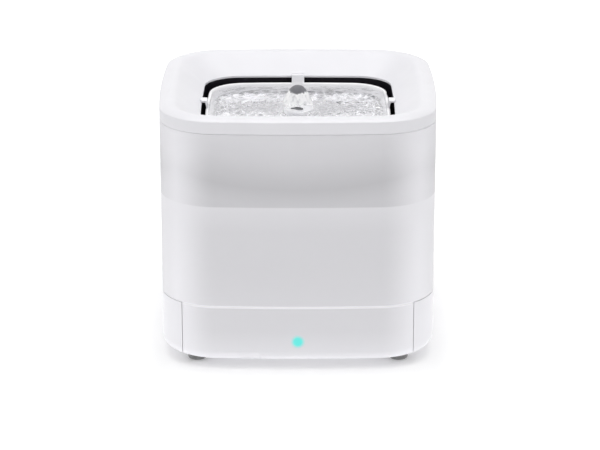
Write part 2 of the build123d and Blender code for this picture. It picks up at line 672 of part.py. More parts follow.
# ---------------------------------------------------------------- lid
def slope_outline(run, full_run):
    """Level outline of the sloping face at a distance from the opening."""
    share = run / full_run
    inset = HALF - OPENING / 2 - full_run
    return soft_square(
        OPENING / 2 + run,
        OPENING_CORNER + share * (CORNER - inset - OPENING_CORNER),
        OPENING_BOW + share * (BOW - inset - OPENING_BOW),
    )


def slope_solid(drop=0.0):
    """Everything above the sloping face of the lid and its round into the crest, moved down by drop."""
    tilt = atan(OPENING_DEPTH / SLOPE_RUN)
    tangent = CREST_SOFTNESS * tan(tilt / 2)
    full_run = SLOPE_RUN + tangent
    sections = [Pos(0, 0, EDGE - drop) * slope_outline(0, full_run)]
    for step in range(CREST_STEPS, -1, -1):
        angle = tilt * step / CREST_STEPS
        run = full_run - CREST_SOFTNESS * sin(angle)
        level = CREST - CREST_SOFTNESS * (1 - cos(angle))
        sections.append(Pos(0, 0, level - drop) * slope_outline(run, full_run))
    above = prism(slope_outline(full_run, full_run), CREST - drop, CREST + LID_HEIGHT)
    return loft(sections, ruled=True) + above


def make_crowned_block():
    """Block of the lid, with a domed band that meets its upright sides at a crisp edge."""
    radius = (CROWN_WIDTH ** 2 + CROWN_DROP ** 2) / (2 * CROWN_DROP)
    dome = prism(plan(CROWN_WIDTH - radius), CREST - 2 * radius, CREST)
    dome = fillet(dome.edges().group_by(Axis.Z)[-1], radius)
    body = prism(plan(0), RIM, CREST) & dome
    level = CREST - CROWN_DROP
    rim = body.edges().filter_by_position(Axis.Z, level - RUNNING_GAP, level + RUNNING_GAP)
    return fillet(rim, CROWN_EDGE)


def make_lid_ring():
    body = make_crowned_block()
    body = chamfer(body.edges().group_by(Axis.Z)[0], EDGE_SOFT)
    skirt_inset = TANK_WALL + SLIDE_GAP
    body += prism(plan(skirt_inset), RIM - SKIRT_DEPTH, RIM)
    collar_inner = GUTTER_WALL + 2 * SNUG_GAP
    collar = opening(collar_inner + COLLAR_WALL)
    hollow = prism(plan(skirt_inset + SKIRT_WALL), RIM - SKIRT_DEPTH, CREST - SLOPE_SKIN)
    hollow -= slope_solid(SLOPE_SKIN)
    hollow -= prism(collar, RIM - SKIRT_DEPTH, CREST)
    body -= hollow
    body += prism(collar, COLLAR_END, EDGE_UNDER)
    body -= prism(opening(collar_inner), COLLAR_END, EDGE_UNDER)
    body -= prism(opening(0), COLLAR_END, EDGE)
    body -= slope_solid()
    groove = prism(plan(skirt_inset), RIM - SEAL_DROP - SEAL_HEIGHT, RIM - SEAL_DROP)
    groove -= prism(plan(skirt_inset + SEAL_DEPTH), RIM - SEAL_DROP - SEAL_HEIGHT, RIM - SEAL_DROP)
    return body - groove


def make_lid_seal():
    low = RIM - SEAL_DROP - SEAL_HEIGHT + RUNNING_GAP
    high = RIM - SEAL_DROP - RUNNING_GAP
    groove_floor = TANK_WALL + SLIDE_GAP + SEAL_DEPTH
    return prism(plan(TANK_WALL + SNUG_GAP), low, high) - prism(plan(groove_floor - RUNNING_GAP), low, high)


def make_drain_gutter():
    wall = SNUG_GAP + GUTTER_WALL
    body = prism(opening(wall), GUTTER_UNDER, GUTTER_TOP)
    body = chamfer(body.edges().group_by(Axis.Z)[0], GUTTER_WALL)
    body -= prism(opening(SNUG_GAP), GUTTER_INSIDE, GUTTER_TOP)
    flange_top = COLLAR_END - RUNNING_GAP
    flange_low = flange_top - GUTTER_FLANGE
    flange = prism(opening(wall + COLLAR_WALL), flange_low, flange_top)
    body += flange - prism(opening(wall), flange_low, flange_top)
    socket_low = GUTTER_UNDER - FILTER_SOCKET
    body += prism(cartridge(-SNUG_GAP - GUTTER_WALL), socket_low, GUTTER_UNDER)
    body -= prism(cartridge(-SNUG_GAP), socket_low, GUTTER_UNDER)
    drain_length = DRAIN_OUTER - DRAIN_INNER
    slot = extrude(SlotOverall(drain_length, DRAIN_WIDTH), GUTTER_FLOOR)
    slot = Pos((DRAIN_OUTER + DRAIN_INNER) / 2, 0, GUTTER_UNDER) * slot
    for drain in around(slot, DRAIN_COUNT, 180 / DRAIN_COUNT):
        body -= drain
    body += disc(SLEEVE_RADIUS + SLEEVE_WALL, GUTTER_UNDER, GUTTER_INSIDE + SLEEVE_RISE)
    return body - disc(SLEEVE_RADIUS, GUTTER_UNDER, GUTTER_INSIDE + SLEEVE_RISE)


# ---------------------------------------------------------------- filter cartridge
def filter_slots(low, high):
    """Rows of slots clear of the walls and of the middle hole."""
    half = FILTER_WIDTH / 2 - FILTER_CORNER / 2
    count = int((half - FILTER_HOLE - 2 * FILTER_WALL) // FILTER_SLOT_PITCH)
    slots = []
    for number in range(count):
        offset = FILTER_HOLE + 2 * FILTER_WALL + FILTER_SLOT_PITCH * (number + 0.5)
        for quarter in range(4):
            slot = extrude(SlotOverall(FILTER_SLOT_SPREAD * offset, FILTER_SLOT), high - low)
            slots.append(Rot(0, 0, 90 * quarter) * Pos(0, offset, low) * slot)
    return slots


def make_filter_frame():
    body = prism(cartridge(0), FILTER_UNDER, GUTTER_UNDER)
    body = chamfer(body.edges().group_by(Axis.Z)[0], FILTER_WALL / 2)
    body -= prism(cartridge(FILTER_WALL), FILTER_UNDER + FILTER_FLOOR, GUTTER_UNDER)
    for slot in filter_slots(FILTER_UNDER, FILTER_UNDER + FILTER_FLOOR):
        body -= slot
    top = GUTTER_UNDER - GRID_THICKNESS - SNUG_GAP
    body += disc(FILTER_HOLE + FILTER_WALL, FILTER_UNDER, top)
    body -= disc(FILTER_HOLE, FILTER_UNDER, GUTTER_UNDER)
    grip_x = FILTER_WIDTH / 2 - GRIP_INSET
    half = GRIP_LENGTH / 2
    grip = block((grip_x - GRIP_WALL, grip_x), (-half, half), (FILTER_UNDER - GRIP_DEPTH, FILTER_UNDER))
    for tab in around(grip, 2):
        body += tab
    return body


def make_filter_grid():
    low = GUTTER_UNDER - GRID_THICKNESS
    body = prism(cartridge(FILTER_WALL + SNUG_GAP), low, GUTTER_UNDER)
    for slot in filter_slots(low, GUTTER_UNDER):
        body -= slot
    return body - disc(FILTER_HOLE, low, GUTTER_UNDER)


def make_filter_layer(low, high):
    body = prism(cartridge(FILTER_WALL + SOFT_GAP), low, high)
    return body - disc(FILTER_HOLE + FILTER_WALL + SOFT_GAP, low, high)


def make_filter_wadding():
    high = GUTTER_UNDER - GRID_THICKNESS - SNUG_GAP
    return make_filter_layer(high - WADDING_THICKNESS, high)


def make_carbon_bed():
    high = GUTTER_UNDER - GRID_THICKNESS - WADDING_THICKNESS - 2 * SNUG_GAP
    return make_filter_layer(FILTER_UNDER + FILTER_FLOOR + SNUG_GAP, high)


# ---------------------------------------------------------------- dish, nozzle and riser
def make_hook():
    """Hook at the rear side of the dish, lying over the edge of the lid."""
    inner = DISH_WIDTH / 2
    edge = OPENING / 2
    rise = (CREST - EDGE) / SLOPE_RUN
    tip = edge + HOOK_REACH
    over = EDGE + HOOK_GAP * sqrt(1 + rise ** 2)
    top = over + HOOK_THICKNESS
    near = edge - SLIDE_GAP
    points = [
        (inner - DISH_WALL, LIP - HOOK_THICKNESS),
        (inner - DISH_WALL / 2, LIP - HOOK_THICKNESS),
        (inner, over),
        (near, over),
        (tip, over + rise * (tip - near)),
        (tip, top + HOOK_BEAD),
        (tip - HOOK_BEAD, top + HOOK_BEAD),
        (tip - HOOK_BEAD, top),
        (inner - HOOK_THICKNESS, top),
        (inner - DISH_WALL, LIP),
    ]
    outline = make_face(Polyline(*points, close=True))
    section = Plane(origin=(0, 0, 0), x_dir=(0, 1, 0), z_dir=(1, 0, 0)) * outline
    return extrude(section, HOOK_WIDTH / 2, both=True)


def make_drinking_dish():
    body = loft([
        Pos(0, 0, DISH_UNDER) * dish_outline(0, DISH_TAPER),
        Pos(0, 0, LIP) * dish_outline(0),
    ], ruled=True)
    body = fillet(body.edges().group_by(Axis.Z)[0], DISH_ROUND)
    hollow = loft([
        Pos(0, 0, DISH_FLOOR) * dish_outline(DISH_WALL, DISH_TAPER),
        Pos(0, 0, LIP) * dish_outline(DISH_WALL),
    ], ruled=True)
    hollow = fillet(hollow.edges().group_by(Axis.Z)[0], DISH_ROUND - DISH_WALL)
    body -= hollow
    body = fillet(body.edges().group_by(Axis.Z)[-1], LIP_ROUND)
    for hook in around(make_hook(), 4):
        body += hook
    body += disc(SPOUT_RADIUS, SPOUT_END, DISH_FLOOR + SPIGOT_HEIGHT)
    return body - disc(BORE_RADIUS, SPOUT_END, DISH_FLOOR + SPIGOT_HEIGHT)


def make_spring_nozzle():
    """Bell over the spigot, through which the water wells up."""
    foot = DISH_FLOOR + RUNNING_GAP
    step = DISH_FLOOR + SPIGOT_HEIGHT + RUNNING_GAP
    socket = SPOUT_RADIUS + RUNNING_GAP
    mouth_low = NOZZLE_CREST - NOZZLE_MOUTH
    hem = (NOZZLE_FOOT, foot + NOZZLE_MOUTH / 2)
    waist = (NOZZLE_NECK + NOZZLE_MOUTH / 2, step)
    bell = Spline(hem, waist, (NOZZLE_NECK, NOZZLE_CREST), tangents=((-1, 0.2), (-0.1, 1)))
    rest = Polyline(
        (NOZZLE_NECK, NOZZLE_CREST), (NOZZLE_MOUTH, NOZZLE_CREST), (BORE_RADIUS, mouth_low),
        (BORE_RADIUS, step), (socket, step), (socket, foot), (NOZZLE_FOOT, foot), hem,
    )
    return revolve(Plane.XZ * make_face([bell, rest]), Axis.Z)


def make_riser_tube():
    body = ring(RISER_RADIUS, RISER_BORE, DOME_TOP + RUNNING_GAP, RISER_TOP)
    top = RISER_TOP - RING_DROP
    return body - ring(RISER_RADIUS, RISER_RADIUS - RING_DEPTH, top - RING_HEIGHT, top)


def make_riser_seal():
    top = RISER_TOP - RING_DROP - RUNNING_GAP
    low = top - RING_HEIGHT + 2 * RUNNING_GAP
    return ring(BORE_RADIUS - RUNNING_GAP, RISER_RADIUS - RING_DEPTH + RUNNING_GAP, low, top)


# ---------------------------------------------------------------- pump
def make_pump_housing():
    """Wide puck with the tower of the motor on it and the wet well down its middle."""
    body = disc(PUMP_RADIUS, PAD, PUCK_TOP)
    body = fillet(body.edges().group_by(Axis.Z)[-1], PUMP_ROUND)
    body += disc(TOWER_RADIUS, PUCK_TOP - PUMP_ROUND, TOWER_TOP)
    body -= disc(PUMP_RADIUS - PUMP_WALL, PAD, PUCK_TOP - PUMP_WALL)
    body -= disc(TOWER_RADIUS - TOWER_WALL, PAD, TOWER_TOP - TOWER_WALL)
    body += disc(WELL_RADIUS + WELL_WALL, WELL_BOTTOM - WELL_FLOOR, TOWER_TOP)
    body -= disc(WELL_RADIUS, WELL_BOTTOM, TOWER_TOP)
    body += disc(PIVOT_RADIUS, WELL_BOTTOM, PIVOT_TOP)
    body -= disc(SHAFT_RADIUS, WELL_BOTTOM, PIVOT_TOP)
    for lug in around(make_lug(), LUG_COUNT):
        body += lug
    return body


def sector(outer, inner, low, high, angle):
    """Part of a tube, centred on the +X direction."""
    reach = 2 * outer
    spread = reach * tan(radians(angle / 2))
    wedge = make_face(Polyline((0, 0), (reach, -spread), (reach, spread), close=True))
    return ring(outer, inner, low, high) & prism(wedge, low, high)


def make_lug():
    """Hooked lug beside the foot of the intake cover."""
    inner = COVER_RADIUS + LUG_FOOT + SLIDE_GAP
    top = PUCK_TOP + LUG_HEIGHT
    hook_low = COVER_UNDER + LUG_FOOT + SLIDE_GAP
    upright = sector(inner + LUG_WALL, inner, PUCK_TOP - PUMP_WALL / 2, top, LUG_ANGLE)
    return upright + sector(inner, COVER_RADIUS + SLIDE_GAP, hook_low, top, LUG_ANGLE)


def make_pump_plate():
    return disc(PUMP_RADIUS - PUMP_WALL - SNUG_GAP, PAD, PAD + PUMP_PLATE)


def make_receiver_coil():
    low = PAD + PUMP_PLATE
    high = low + RECEIVER_THICKNESS
    return make_coil(RECEIVER_OUTER, RECEIVER_INNER, low, high, RECEIVER_GROOVE_COUNT, False)


def make_pump_board():
    low = PAD + PUMP_PLATE + RECEIVER_THICKNESS
    return ring(RECEIVER_OUTER, RECEIVER_INNER, low, low + PUMP_BOARD_THICKNESS)


def stator_low():
    return TOWER_TOP - TOWER_WALL - WINDING_THICKNESS - SOFT_GAP - STATOR_HEIGHT


def make_stator_core():
    low = stator_low()
    high = low + STATOR_HEIGHT
    outer = STATOR_RADIUS
    body = ring(outer, outer - STATOR_RING, low, high)
    tooth = block((TOOTH_TIP, outer - STATOR_RING / 2), (-STATOR_TOOTH / 2, STATOR_TOOTH / 2), (low, high))
    for pole in around(tooth, 4):
        body += pole
    return body


def make_stator_windings():
    low = stator_low()
    high = low + STATOR_HEIGHT
    hole = STATOR_TOOTH / 2 + SNUG_GAP
    side = hole + WINDING_THICKNESS
    x_range = (TOOTH_TIP + WINDING_TIP, STATOR_RADIUS - STATOR_RING - WINDING_ROOT)
    winding = block(x_range, (-side, side), (low - WINDING_THICKNESS, high + WINDING_THICKNESS))
    winding = fillet(winding.edges().filter_by(Axis.X), WINDING_THICKNESS / 2)
    winding -= block(x_range, (-hole, hole), (low - SNUG_GAP, high + SNUG_GAP))
    return around(winding, 4)


def make_pump_shaft():
    return disc(SHAFT_RADIUS, WELL_BOTTOM, CHAMBER_TOP + SPIDER_HEIGHT / 2)


def make_rotor_magnet():
    low = PIVOT_TOP + MAGNET_LIFT
    sleeve = SHAFT_RADIUS + RUNNING_GAP + SLEEVE_THICKNESS
    return ring(MAGNET_RADIUS, sleeve + RUNNING_GAP / 2, low, low + MAGNET_HEIGHT)


def make_blade():
    """Twisted blade standing on the hub of the impeller."""
    reach = CHAMBER_RADIUS - BLADE_CLEAR
    section = Pos((reach + HUB_RADIUS / 2) / 2, 0) * Rectangle(reach - HUB_RADIUS / 2, BLADE_THICKNESS)
    low = Pos(0, 0, IMPELLER_UNDER) * Rot(0, 0, -BLADE_TWIST / 2) * section
    high = Pos(0, 0, IMPELLER_UNDER + BLADE_HEIGHT) * Rot(0, 0, BLADE_TWIST / 2) * section
    blade = loft([low.face(), high.face()], ruled=True)
    return blade & disc(reach, IMPELLER_UNDER, IMPELLER_UNDER + BLADE_HEIGHT)


def make_impeller():
    body = disc(SHAFT_RADIUS + RUNNING_GAP + SLEEVE_THICKNESS, PIVOT_TOP + MAGNET_LIFT / 2, IMPELLER_UNDER)
    hub = disc(HUB_RADIUS, IMPELLER_UNDER, IMPELLER_UNDER + BLADE_HEIGHT)
    body += fillet(hub.edges().group_by(Axis.Z)[-1], HUB_RADIUS / 3)
    for blade in around(make_blade(), BLADE_COUNT):
        body += blade
    return body - disc(SHAFT_RADIUS + RUNNING_GAP, WELL_BOTTOM, DOME_TOP)


def make_pump_chamber():
    """Chamber round the impeller, with side windows and a dome up to the riser nipple."""
    outer = CHAMBER_RADIUS + CHAMBER_WALL
    nipple = RISER_BORE - RUNNING_GAP
    body = disc(outer, TOWER_TOP, CHAMBER_TOP)
    body += Pos(0, 0, (CHAMBER_TOP + DOME_TOP) / 2) * Cone(outer, RISER_RADIUS, CHAMBER_DOME)
    body += disc(TOWER_RADIUS, TOWER_TOP, TOWER_TOP + CHAMBER_FLANGE)
    body += disc(nipple, DOME_TOP, DOME_TOP + NIPPLE_HEIGHT)
    body -= disc(CHAMBER_RADIUS, TOWER_TOP, CHAMBER_TOP)
    inner = RISER_RADIUS - CHAMBER_WALL
    body -= Pos(0, 0, (CHAMBER_TOP + DOME_TOP) / 2) * Cone(CHAMBER_RADIUS, inner, CHAMBER_DOME)
    body -= disc(nipple - NIPPLE_WALL, CHAMBER_TOP, DOME_TOP + NIPPLE_HEIGHT)
    low = TOWER_TOP + CHAMBER_FLANGE
    width = WINDOW_WIDTH / 2
    window = block((CHAMBER_RADIUS / 2, outer), (-width, width), (low, low + WINDOW_HEIGHT))
    for gap in around(window, WINDOW_COUNT):
        body -= gap
    spider_low = CHAMBER_TOP - SPIDER_HEIGHT
    spider_top = CHAMBER_TOP + SPIDER_HEIGHT / 2
    half = NIPPLE_WALL / 2
    spoke = block((0, CHAMBER_RADIUS + RUNNING_GAP), (-half, half), (spider_low, CHAMBER_TOP))
    for arm in around(spoke, SPOKE_COUNT, SPOKE_TURN):
        body += arm
    body += disc(PIVOT_RADIUS, spider_low, spider_top)
    return body - disc(SHAFT_RADIUS, spider_low, spider_top)


def make_intake_cover():
    """Slotted cup over the motor tower, held by a quarter-turn of its three feet."""
    top = COVER_UNDER + COVER_HEIGHT
    body = disc(COVER_RADIUS, COVER_UNDER, top)
    body = fillet(body.edges().group_by(Axis.Z)[-1], PUMP_ROUND)
    body -= disc(COVER_RADIUS - COVER_WALL, COVER_UNDER, top - COVER_WALL)
    body -= disc(CHAMBER_RADIUS + CHAMBER_WALL + SLIDE_GAP, COVER_UNDER, top)
    low = COVER_UNDER + INTAKE_SLOT_LIFT
    slot = block(
        (COVER_RADIUS / 2, COVER_RADIUS),
        (-INTAKE_SLOT_WIDTH / 2, INTAKE_SLOT_WIDTH / 2),
        (low, low + INTAKE_SLOT_HEIGHT),
    )
    for gap in around(slot, INTAKE_SLOT_COUNT):
        body -= gap
    foot = sector(
        COVER_RADIUS + LUG_FOOT, COVER_RADIUS - COVER_WALL / 2,
        COVER_UNDER, COVER_UNDER + LUG_FOOT, LUG_FOOT_ANGLE,
    )
    for step in around(foot, LUG_COUNT):
        body += step
    return body


def make_pump_sponge():
    low = COVER_UNDER + SOFT_GAP
    high = COVER_UNDER + COVER_HEIGHT - COVER_WALL - SOFT_GAP
    return ring(COVER_RADIUS - COVER_WALL - SOFT_GAP, TOWER_RADIUS + SOFT_GAP, low, high)


# ---------------------------------------------------------------- the whole fountain
def make_nodes():
    """Every piece under the name of its node; a list is a group of equal or loose solids."""
    return {
        "base_shell": make_base_shell(),
        "bottom_cover": make_bottom_cover(),
        "rubber_feet": [make_foot(x, y) for x, y in corners(FOOT_X, FOOT_Y)],
        "cover_screws": make_cover_screws(),
        "control_board": make_control_board(),
        "board_parts": make_board_parts(),
        "board_screws": make_board_screws(),
        "transmitter_coil": make_transmitter_coil(),
        "ferrite_disc": disc(FERRITE_RADIUS, FERRITE_UNDER, COIL_UNDER),
        "coil_leads": [make_coil_lead(side * LEAD_SPACING / 2) for side in (-1, 1)],
        "light_pipe": make_light_pipe(),
        "status_led": make_led(),
        "power_inlet": make_inlet_shell(),
        "inlet_tongue": make_inlet_tongue(),
        "tact_switch": make_tact_switch(),
        "mode_button": make_mode_button(),
        "water_tank": make_water_tank(),
        "lid_ring": make_lid_ring(),
        "lid_seal": make_lid_seal(),
        "drain_gutter": make_drain_gutter(),
        "filter_frame": make_filter_frame(),
        "filter_grid": make_filter_grid(),
        "filter_wadding": make_filter_wadding(),
        "carbon_bed": make_carbon_bed(),
        "drinking_dish": make_drinking_dish(),
        "spring_nozzle": make_spring_nozzle(),
        "riser_tube": make_riser_tube(),
        "riser_seal": make_riser_seal(),
        "pump_housing": make_pump_housing(),
        "pump_plate": make_pump_plate(),
        "receiver_coil": make_receiver_coil(),
        "pump_board": make_pump_board(),
        "stator_core": make_stator_core(),
        "stator_windings": make_stator_windings(),
        "pump_shaft": make_pump_shaft(),
        "rotor_magnet": make_rotor_magnet(),
        "impeller": make_impeller(),
        "pump_chamber": make_pump_chamber(),
        "intake_cover": make_intake_cover(),
        "pump_sponge": make_pump_sponge(),
    }


def as_solids(shape):
    """Plain list of the solids in a shape or in a list of shapes."""
    pieces = shape if isinstance(shape, list) else [shape]
    return [solid for piece in pieces for solid in piece.solids()]


os.makedirs("parts", exist_ok=True)
for name, shape in make_nodes().items():
    solids = as_solids(shape)
    export_step(solids[0] if len(solids) == 1 else Compound(children=solids), f"parts/{name}.step")
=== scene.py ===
from math import asin, atan2, cos, exp, hypot, pi, radians, sin, sqrt

import bpy
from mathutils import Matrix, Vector, noise


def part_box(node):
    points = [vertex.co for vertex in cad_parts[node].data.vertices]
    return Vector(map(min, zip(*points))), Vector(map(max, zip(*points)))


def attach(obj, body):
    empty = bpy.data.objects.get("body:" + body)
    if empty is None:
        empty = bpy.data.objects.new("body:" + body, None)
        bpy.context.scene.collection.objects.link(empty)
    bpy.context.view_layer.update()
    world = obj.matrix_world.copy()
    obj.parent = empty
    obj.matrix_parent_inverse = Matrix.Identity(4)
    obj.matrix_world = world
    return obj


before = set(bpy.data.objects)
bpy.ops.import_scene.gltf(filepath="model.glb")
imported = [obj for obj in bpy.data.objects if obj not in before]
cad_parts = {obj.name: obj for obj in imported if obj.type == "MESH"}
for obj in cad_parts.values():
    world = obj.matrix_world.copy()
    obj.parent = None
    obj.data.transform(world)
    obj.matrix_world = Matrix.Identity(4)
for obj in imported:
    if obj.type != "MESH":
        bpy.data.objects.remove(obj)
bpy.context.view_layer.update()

# Pet water fountain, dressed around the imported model. Metres, row frame: +Z up, front to -Y.
# Every CAD piece gets a material of its own. The scene adds the water in the tank and in the dish.

MM = 0.001


# ---------------------------------------------------------------- places read from the frame
def lowest(name):
    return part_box(name)[0]


def highest(name):
    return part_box(name)[1]


APRON_DROP = 37.5 * MM       # hem of the apron below the body of the tank
NOZZLE_SINK = 2.6 * MM       # top of the nozzle below the lip of the dish
HOOK_REACH = 3.1 * MM        # hooks beyond the side of the dish

HALF = highest("water_tank").x
SEAM = lowest("water_tank").z + APRON_DROP
NOZZLE_TOP = highest("spring_nozzle").z
DISH_FLOOR = lowest("spring_nozzle").z
DISH_LIP = NOZZLE_TOP + NOZZLE_SINK
DISH_HALF = highest("drinking_dish").x - HOOK_REACH
LIGHT_LEVEL = (lowest("light_pipe").z + highest("light_pipe").z) / 2
PUMP_TOP = highest("intake_cover").z
PUMP_SIDE = highest("pump_housing").x
RISER_SIDE = highest("riser_tube").x

# ---------------------------------------------------------------- form of the dish and the tank
DISH_WALL = 2.2 * MM
DISH_TAPER = 4.0 * MM
DISH_CORNER = 24.5 * MM
DISH_BOW = 700 * MM
TANK_CORNER = 38 * MM
TANK_BOW = 900 * MM
APRON_SIDE = 73.9 * MM

# ---------------------------------------------------------------- water
DISH_WATER = DISH_LIP - 1.5 * MM
TANK_WATER = 110.2 * MM
SPRING_HEIGHT = 16.1 * MM
SPRING_WIDTH = 9.4 * MM
SPRING_STEEPNESS = 2.9
SPRING_FOOT = 12 * MM        # rings and chop start outside this radius
RING_HEIGHT = 0.60 * MM      # rings that run out from the spring
RING_LENGTH = 5.2 * MM
RING_REACH = 45 * MM
FAN_HEIGHT = 0.40 * MM       # folds round the foot of the spring
FAN_COUNT = 7
FAN_RADIUS = 14 * MM
FAN_WIDTH = 7 * MM
CHOPS = ((0.85 * MM, 5.2 * MM, 0), (0.26 * MM, 2.4 * MM, 9))     # height, length and seed
CALM_EDGE = 6 * MM           # strip along the wall where the water lies still
CALM_REAR = (12 * MM, 28 * MM)                                   # start and length of the calmer rear
CALM_SHARE = 0.7
DISH_SPOKES = 360
DISH_STEPS = 110
POLE = 0.02 * MM             # radius of the smallest rings
OVERLAP = 0.15 * MM          # water into the wall of the dish
TANK_SPOKES = 180
TANK_FLOOR = 3.3 * MM        # bottom of the water above the seam
CAVITY_RISE = 13.2 * MM      # room above the pump, for its travel


# ---------------------------------------------------------------- shader helpers
def node(tree, kind, **values):
    """New node; a value goes to the input of that name, or to the node's own setting."""
    made = tree.nodes.new(kind)
    for key, value in values.items():
        label = key.replace("_", " ")
        if label in made.inputs:
            made.inputs[label].default_value = value
        else:
            setattr(made, key, value)
    return made


def new_material(name, **values):
    """Material with one Principled shader and the given values on its sockets."""
    material = bpy.data.materials.new(name)
    material.use_nodes = True
    tree = material.node_tree
    tree.nodes.clear()
    output = tree.nodes.new("ShaderNodeOutputMaterial")
    shader = node(tree, "ShaderNodeBsdfPrincipled", **values)
    tree.links.new(shader.outputs["BSDF"], output.inputs["Surface"])
    return material, tree, shader


def feed(shader, **sources):
    """Link each source to the input of that name."""
    for key, source in sources.items():
        shader.id_data.links.new(source, shader.inputs[key.replace("_", " ")])


def tone(r, g=None, b=None):
    """Opaque colour, grey when one value is given."""
    return (r, r if g is None else g, r if b is None else b, 1.0)


def place(tree):
    """Coordinates fixed to the piece, in metres."""
    return tree.nodes.new("ShaderNodeTexCoord").outputs["Object"]


def axes(tree):
    """X, Y and Z of the place, as three values."""
    split = tree.nodes.new("ShaderNodeSeparateXYZ")
    tree.links.new(place(tree), split.inputs["Vector"])
    return split.outputs["X"], split.outputs["Y"], split.outputs["Z"]


def stretched(tree, scale):
    """Place with its axes multiplied, for a pattern that is longer one way than another."""
    mapping = node(tree, "ShaderNodeMapping", Scale=scale)
    tree.links.new(place(tree), mapping.inputs["Vector"])
    return mapping.outputs["Vector"]


def grain(tree, scale, detail=3.0, stretch=(1, 1, 1), distortion=0.0):
    """Noise with features of about 1 / scale metres."""
    pattern = node(tree, "ShaderNodeTexNoise", Scale=scale, Detail=detail, Distortion=distortion)
    tree.links.new(stretched(tree, stretch), pattern.inputs["Vector"])
    return pattern.outputs["Fac"]


def cells(tree, scale):
    """Distance pattern of random cells about 1 / scale metres wide."""
    pattern = node(tree, "ShaderNodeTexVoronoi", feature="F1", Scale=scale)
    tree.links.new(stretched(tree, (1, 1, 1)), pattern.inputs["Vector"])
    return pattern.outputs["Distance"]


def wave(tree, vector, **values):
    """Regular rings or bands."""
    pattern = node(tree, "ShaderNodeTexWave", **values)
    tree.links.new(vector, pattern.inputs["Vector"])
    return pattern.outputs["Fac"]


def calc(tree, operation, *values):
    """One step of arithmetic on values and numbers."""
    made = node(tree, "ShaderNodeMath", operation=operation)
    for socket, value in zip(made.inputs, values):
        if isinstance(value, (int, float)):
            socket.default_value = value
        else:
            tree.links.new(value, socket)
    return made.outputs["Value"]


def product(tree, first, *others):
    """Masks multiplied with each other."""
    for other in others:
        first = calc(tree, "MULTIPLY", first, other)
    return first


def inverse(tree, mask):
    return calc(tree, "SUBTRACT", 1.0, mask)


def distance(tree, across, along):
    """Length of a flat vector."""
    squares = [calc(tree, "POWER", value, 2.0) for value in (across, along)]
    return calc(tree, "SQRT", calc(tree, "ADD", *squares))


def sideways(tree, x, y, choice):
    """The larger or the smaller one of |x| and |y|."""
    return calc(tree, choice, calc(tree, "ABSOLUTE", x), calc(tree, "ABSOLUTE", y))


def spread(tree, source, low, high, start=0.0, end=1.0, soft=False):
    """A value mapped from start..end to low..high and held inside it."""
    made = node(tree, "ShaderNodeMapRange", From_Min=start, From_Max=end, To_Min=low, To_Max=high)
    made.interpolation_type = "SMOOTHSTEP" if soft else "LINEAR"
    tree.links.new(source, made.inputs["Value"])
    return made.outputs["Result"]


def fade(tree, source, start, end):
    """From 0 at start to 1 at end."""
    return spread(tree, source, 0.0, 1.0, start, end, soft=True)


def ramp(tree, source, *stops):
    """Colour ramp over a value; stops are (position, colour)."""
    made = tree.nodes.new("ShaderNodeValToRGB")
    elements = made.color_ramp.elements
    while len(elements) < len(stops):
        elements.new(0.5)
    for element, (position, shade) in zip(elements, stops):
        element.position = position
        element.color = shade
    tree.links.new(source, made.inputs["Fac"])
    return made.outputs["Color"]


def cloudy(tree, source, darker, lighter):
    """Two shades that follow a noise."""
    return ramp(tree, source, (0.3, darker), (0.7, lighter))


def mixed(tree, share, first, second, way="MIX"):
    """Second colour over the first by a share, or multiplied with it."""
    made = node(tree, "ShaderNodeMix", data_type="RGBA", blend_type=way)
    for number, value in ((0, share), (6, first), (7, second)):
        if isinstance(value, (int, float, tuple)):
            made.inputs[number].default_value = value
        else:
            tree.links.new(value, made.inputs[number])
    return made.outputs[2]


def bump(tree, shader, source, depth):
    """Relief of a given depth in metres, for a source between 0 and 1."""
    made = node(tree, "ShaderNodeBump", Strength=1.0, Distance=depth)
    tree.links.new(source, made.inputs["Height"])
    tree.links.new(made.outputs["Normal"], shader.inputs["Normal"])


def varied(shade, share):
    """The shade a little darker and a little lighter."""
    return [tone(*(min(1.0, channel * (1 + way * share)) for channel in shade)) for way in (-1, 1)]


# ---------------------------------------------------------------- plastics, rubber and soft parts
def moulded(name, shade, roughness, texture=0.012, mottle=0.015, coat=0.0, specular=0.5):
    """Moulded plastic: cloudy base, fine spark-eroded texture and slightly uneven gloss."""
    material, tree, shader = new_material(
        name, Coat_Weight=coat, Coat_Roughness=0.08, Specular_IOR_Level=specular,
    )
    feed(
        shader,
        Base_Color=cloudy(tree, grain(tree, 25, 2), *varied(shade, mottle)),
        Roughness=spread(tree, grain(tree, 140, 3), roughness - 0.04, roughness + 0.04, 0.3, 0.7),
    )
    bump(tree, shader, grain(tree, 2400, 2), texture * MM)
    return material


def white_shell(name):
    return moulded(name, (0.785, 0.78, 0.812), 0.34, coat=0.15)


def grey_cover(name):
    return moulded(name, (0.62, 0.63, 0.65), 0.42, texture=0.02)


def pump_shell(name):
    return moulded(name, (0.80, 0.80, 0.81), 0.36)


def black_gutter(name):
    return moulded(name, (0.006, 0.005, 0.008), 0.4, texture=0.01, mottle=0.2, specular=0.15)


def filter_plastic(name):
    return moulded(name, (0.55, 0.56, 0.58), 0.4)


def impeller_blue(name):
    return moulded(name, (0.05, 0.20, 0.42), 0.3, texture=0.01, mottle=0.06, coat=0.2)


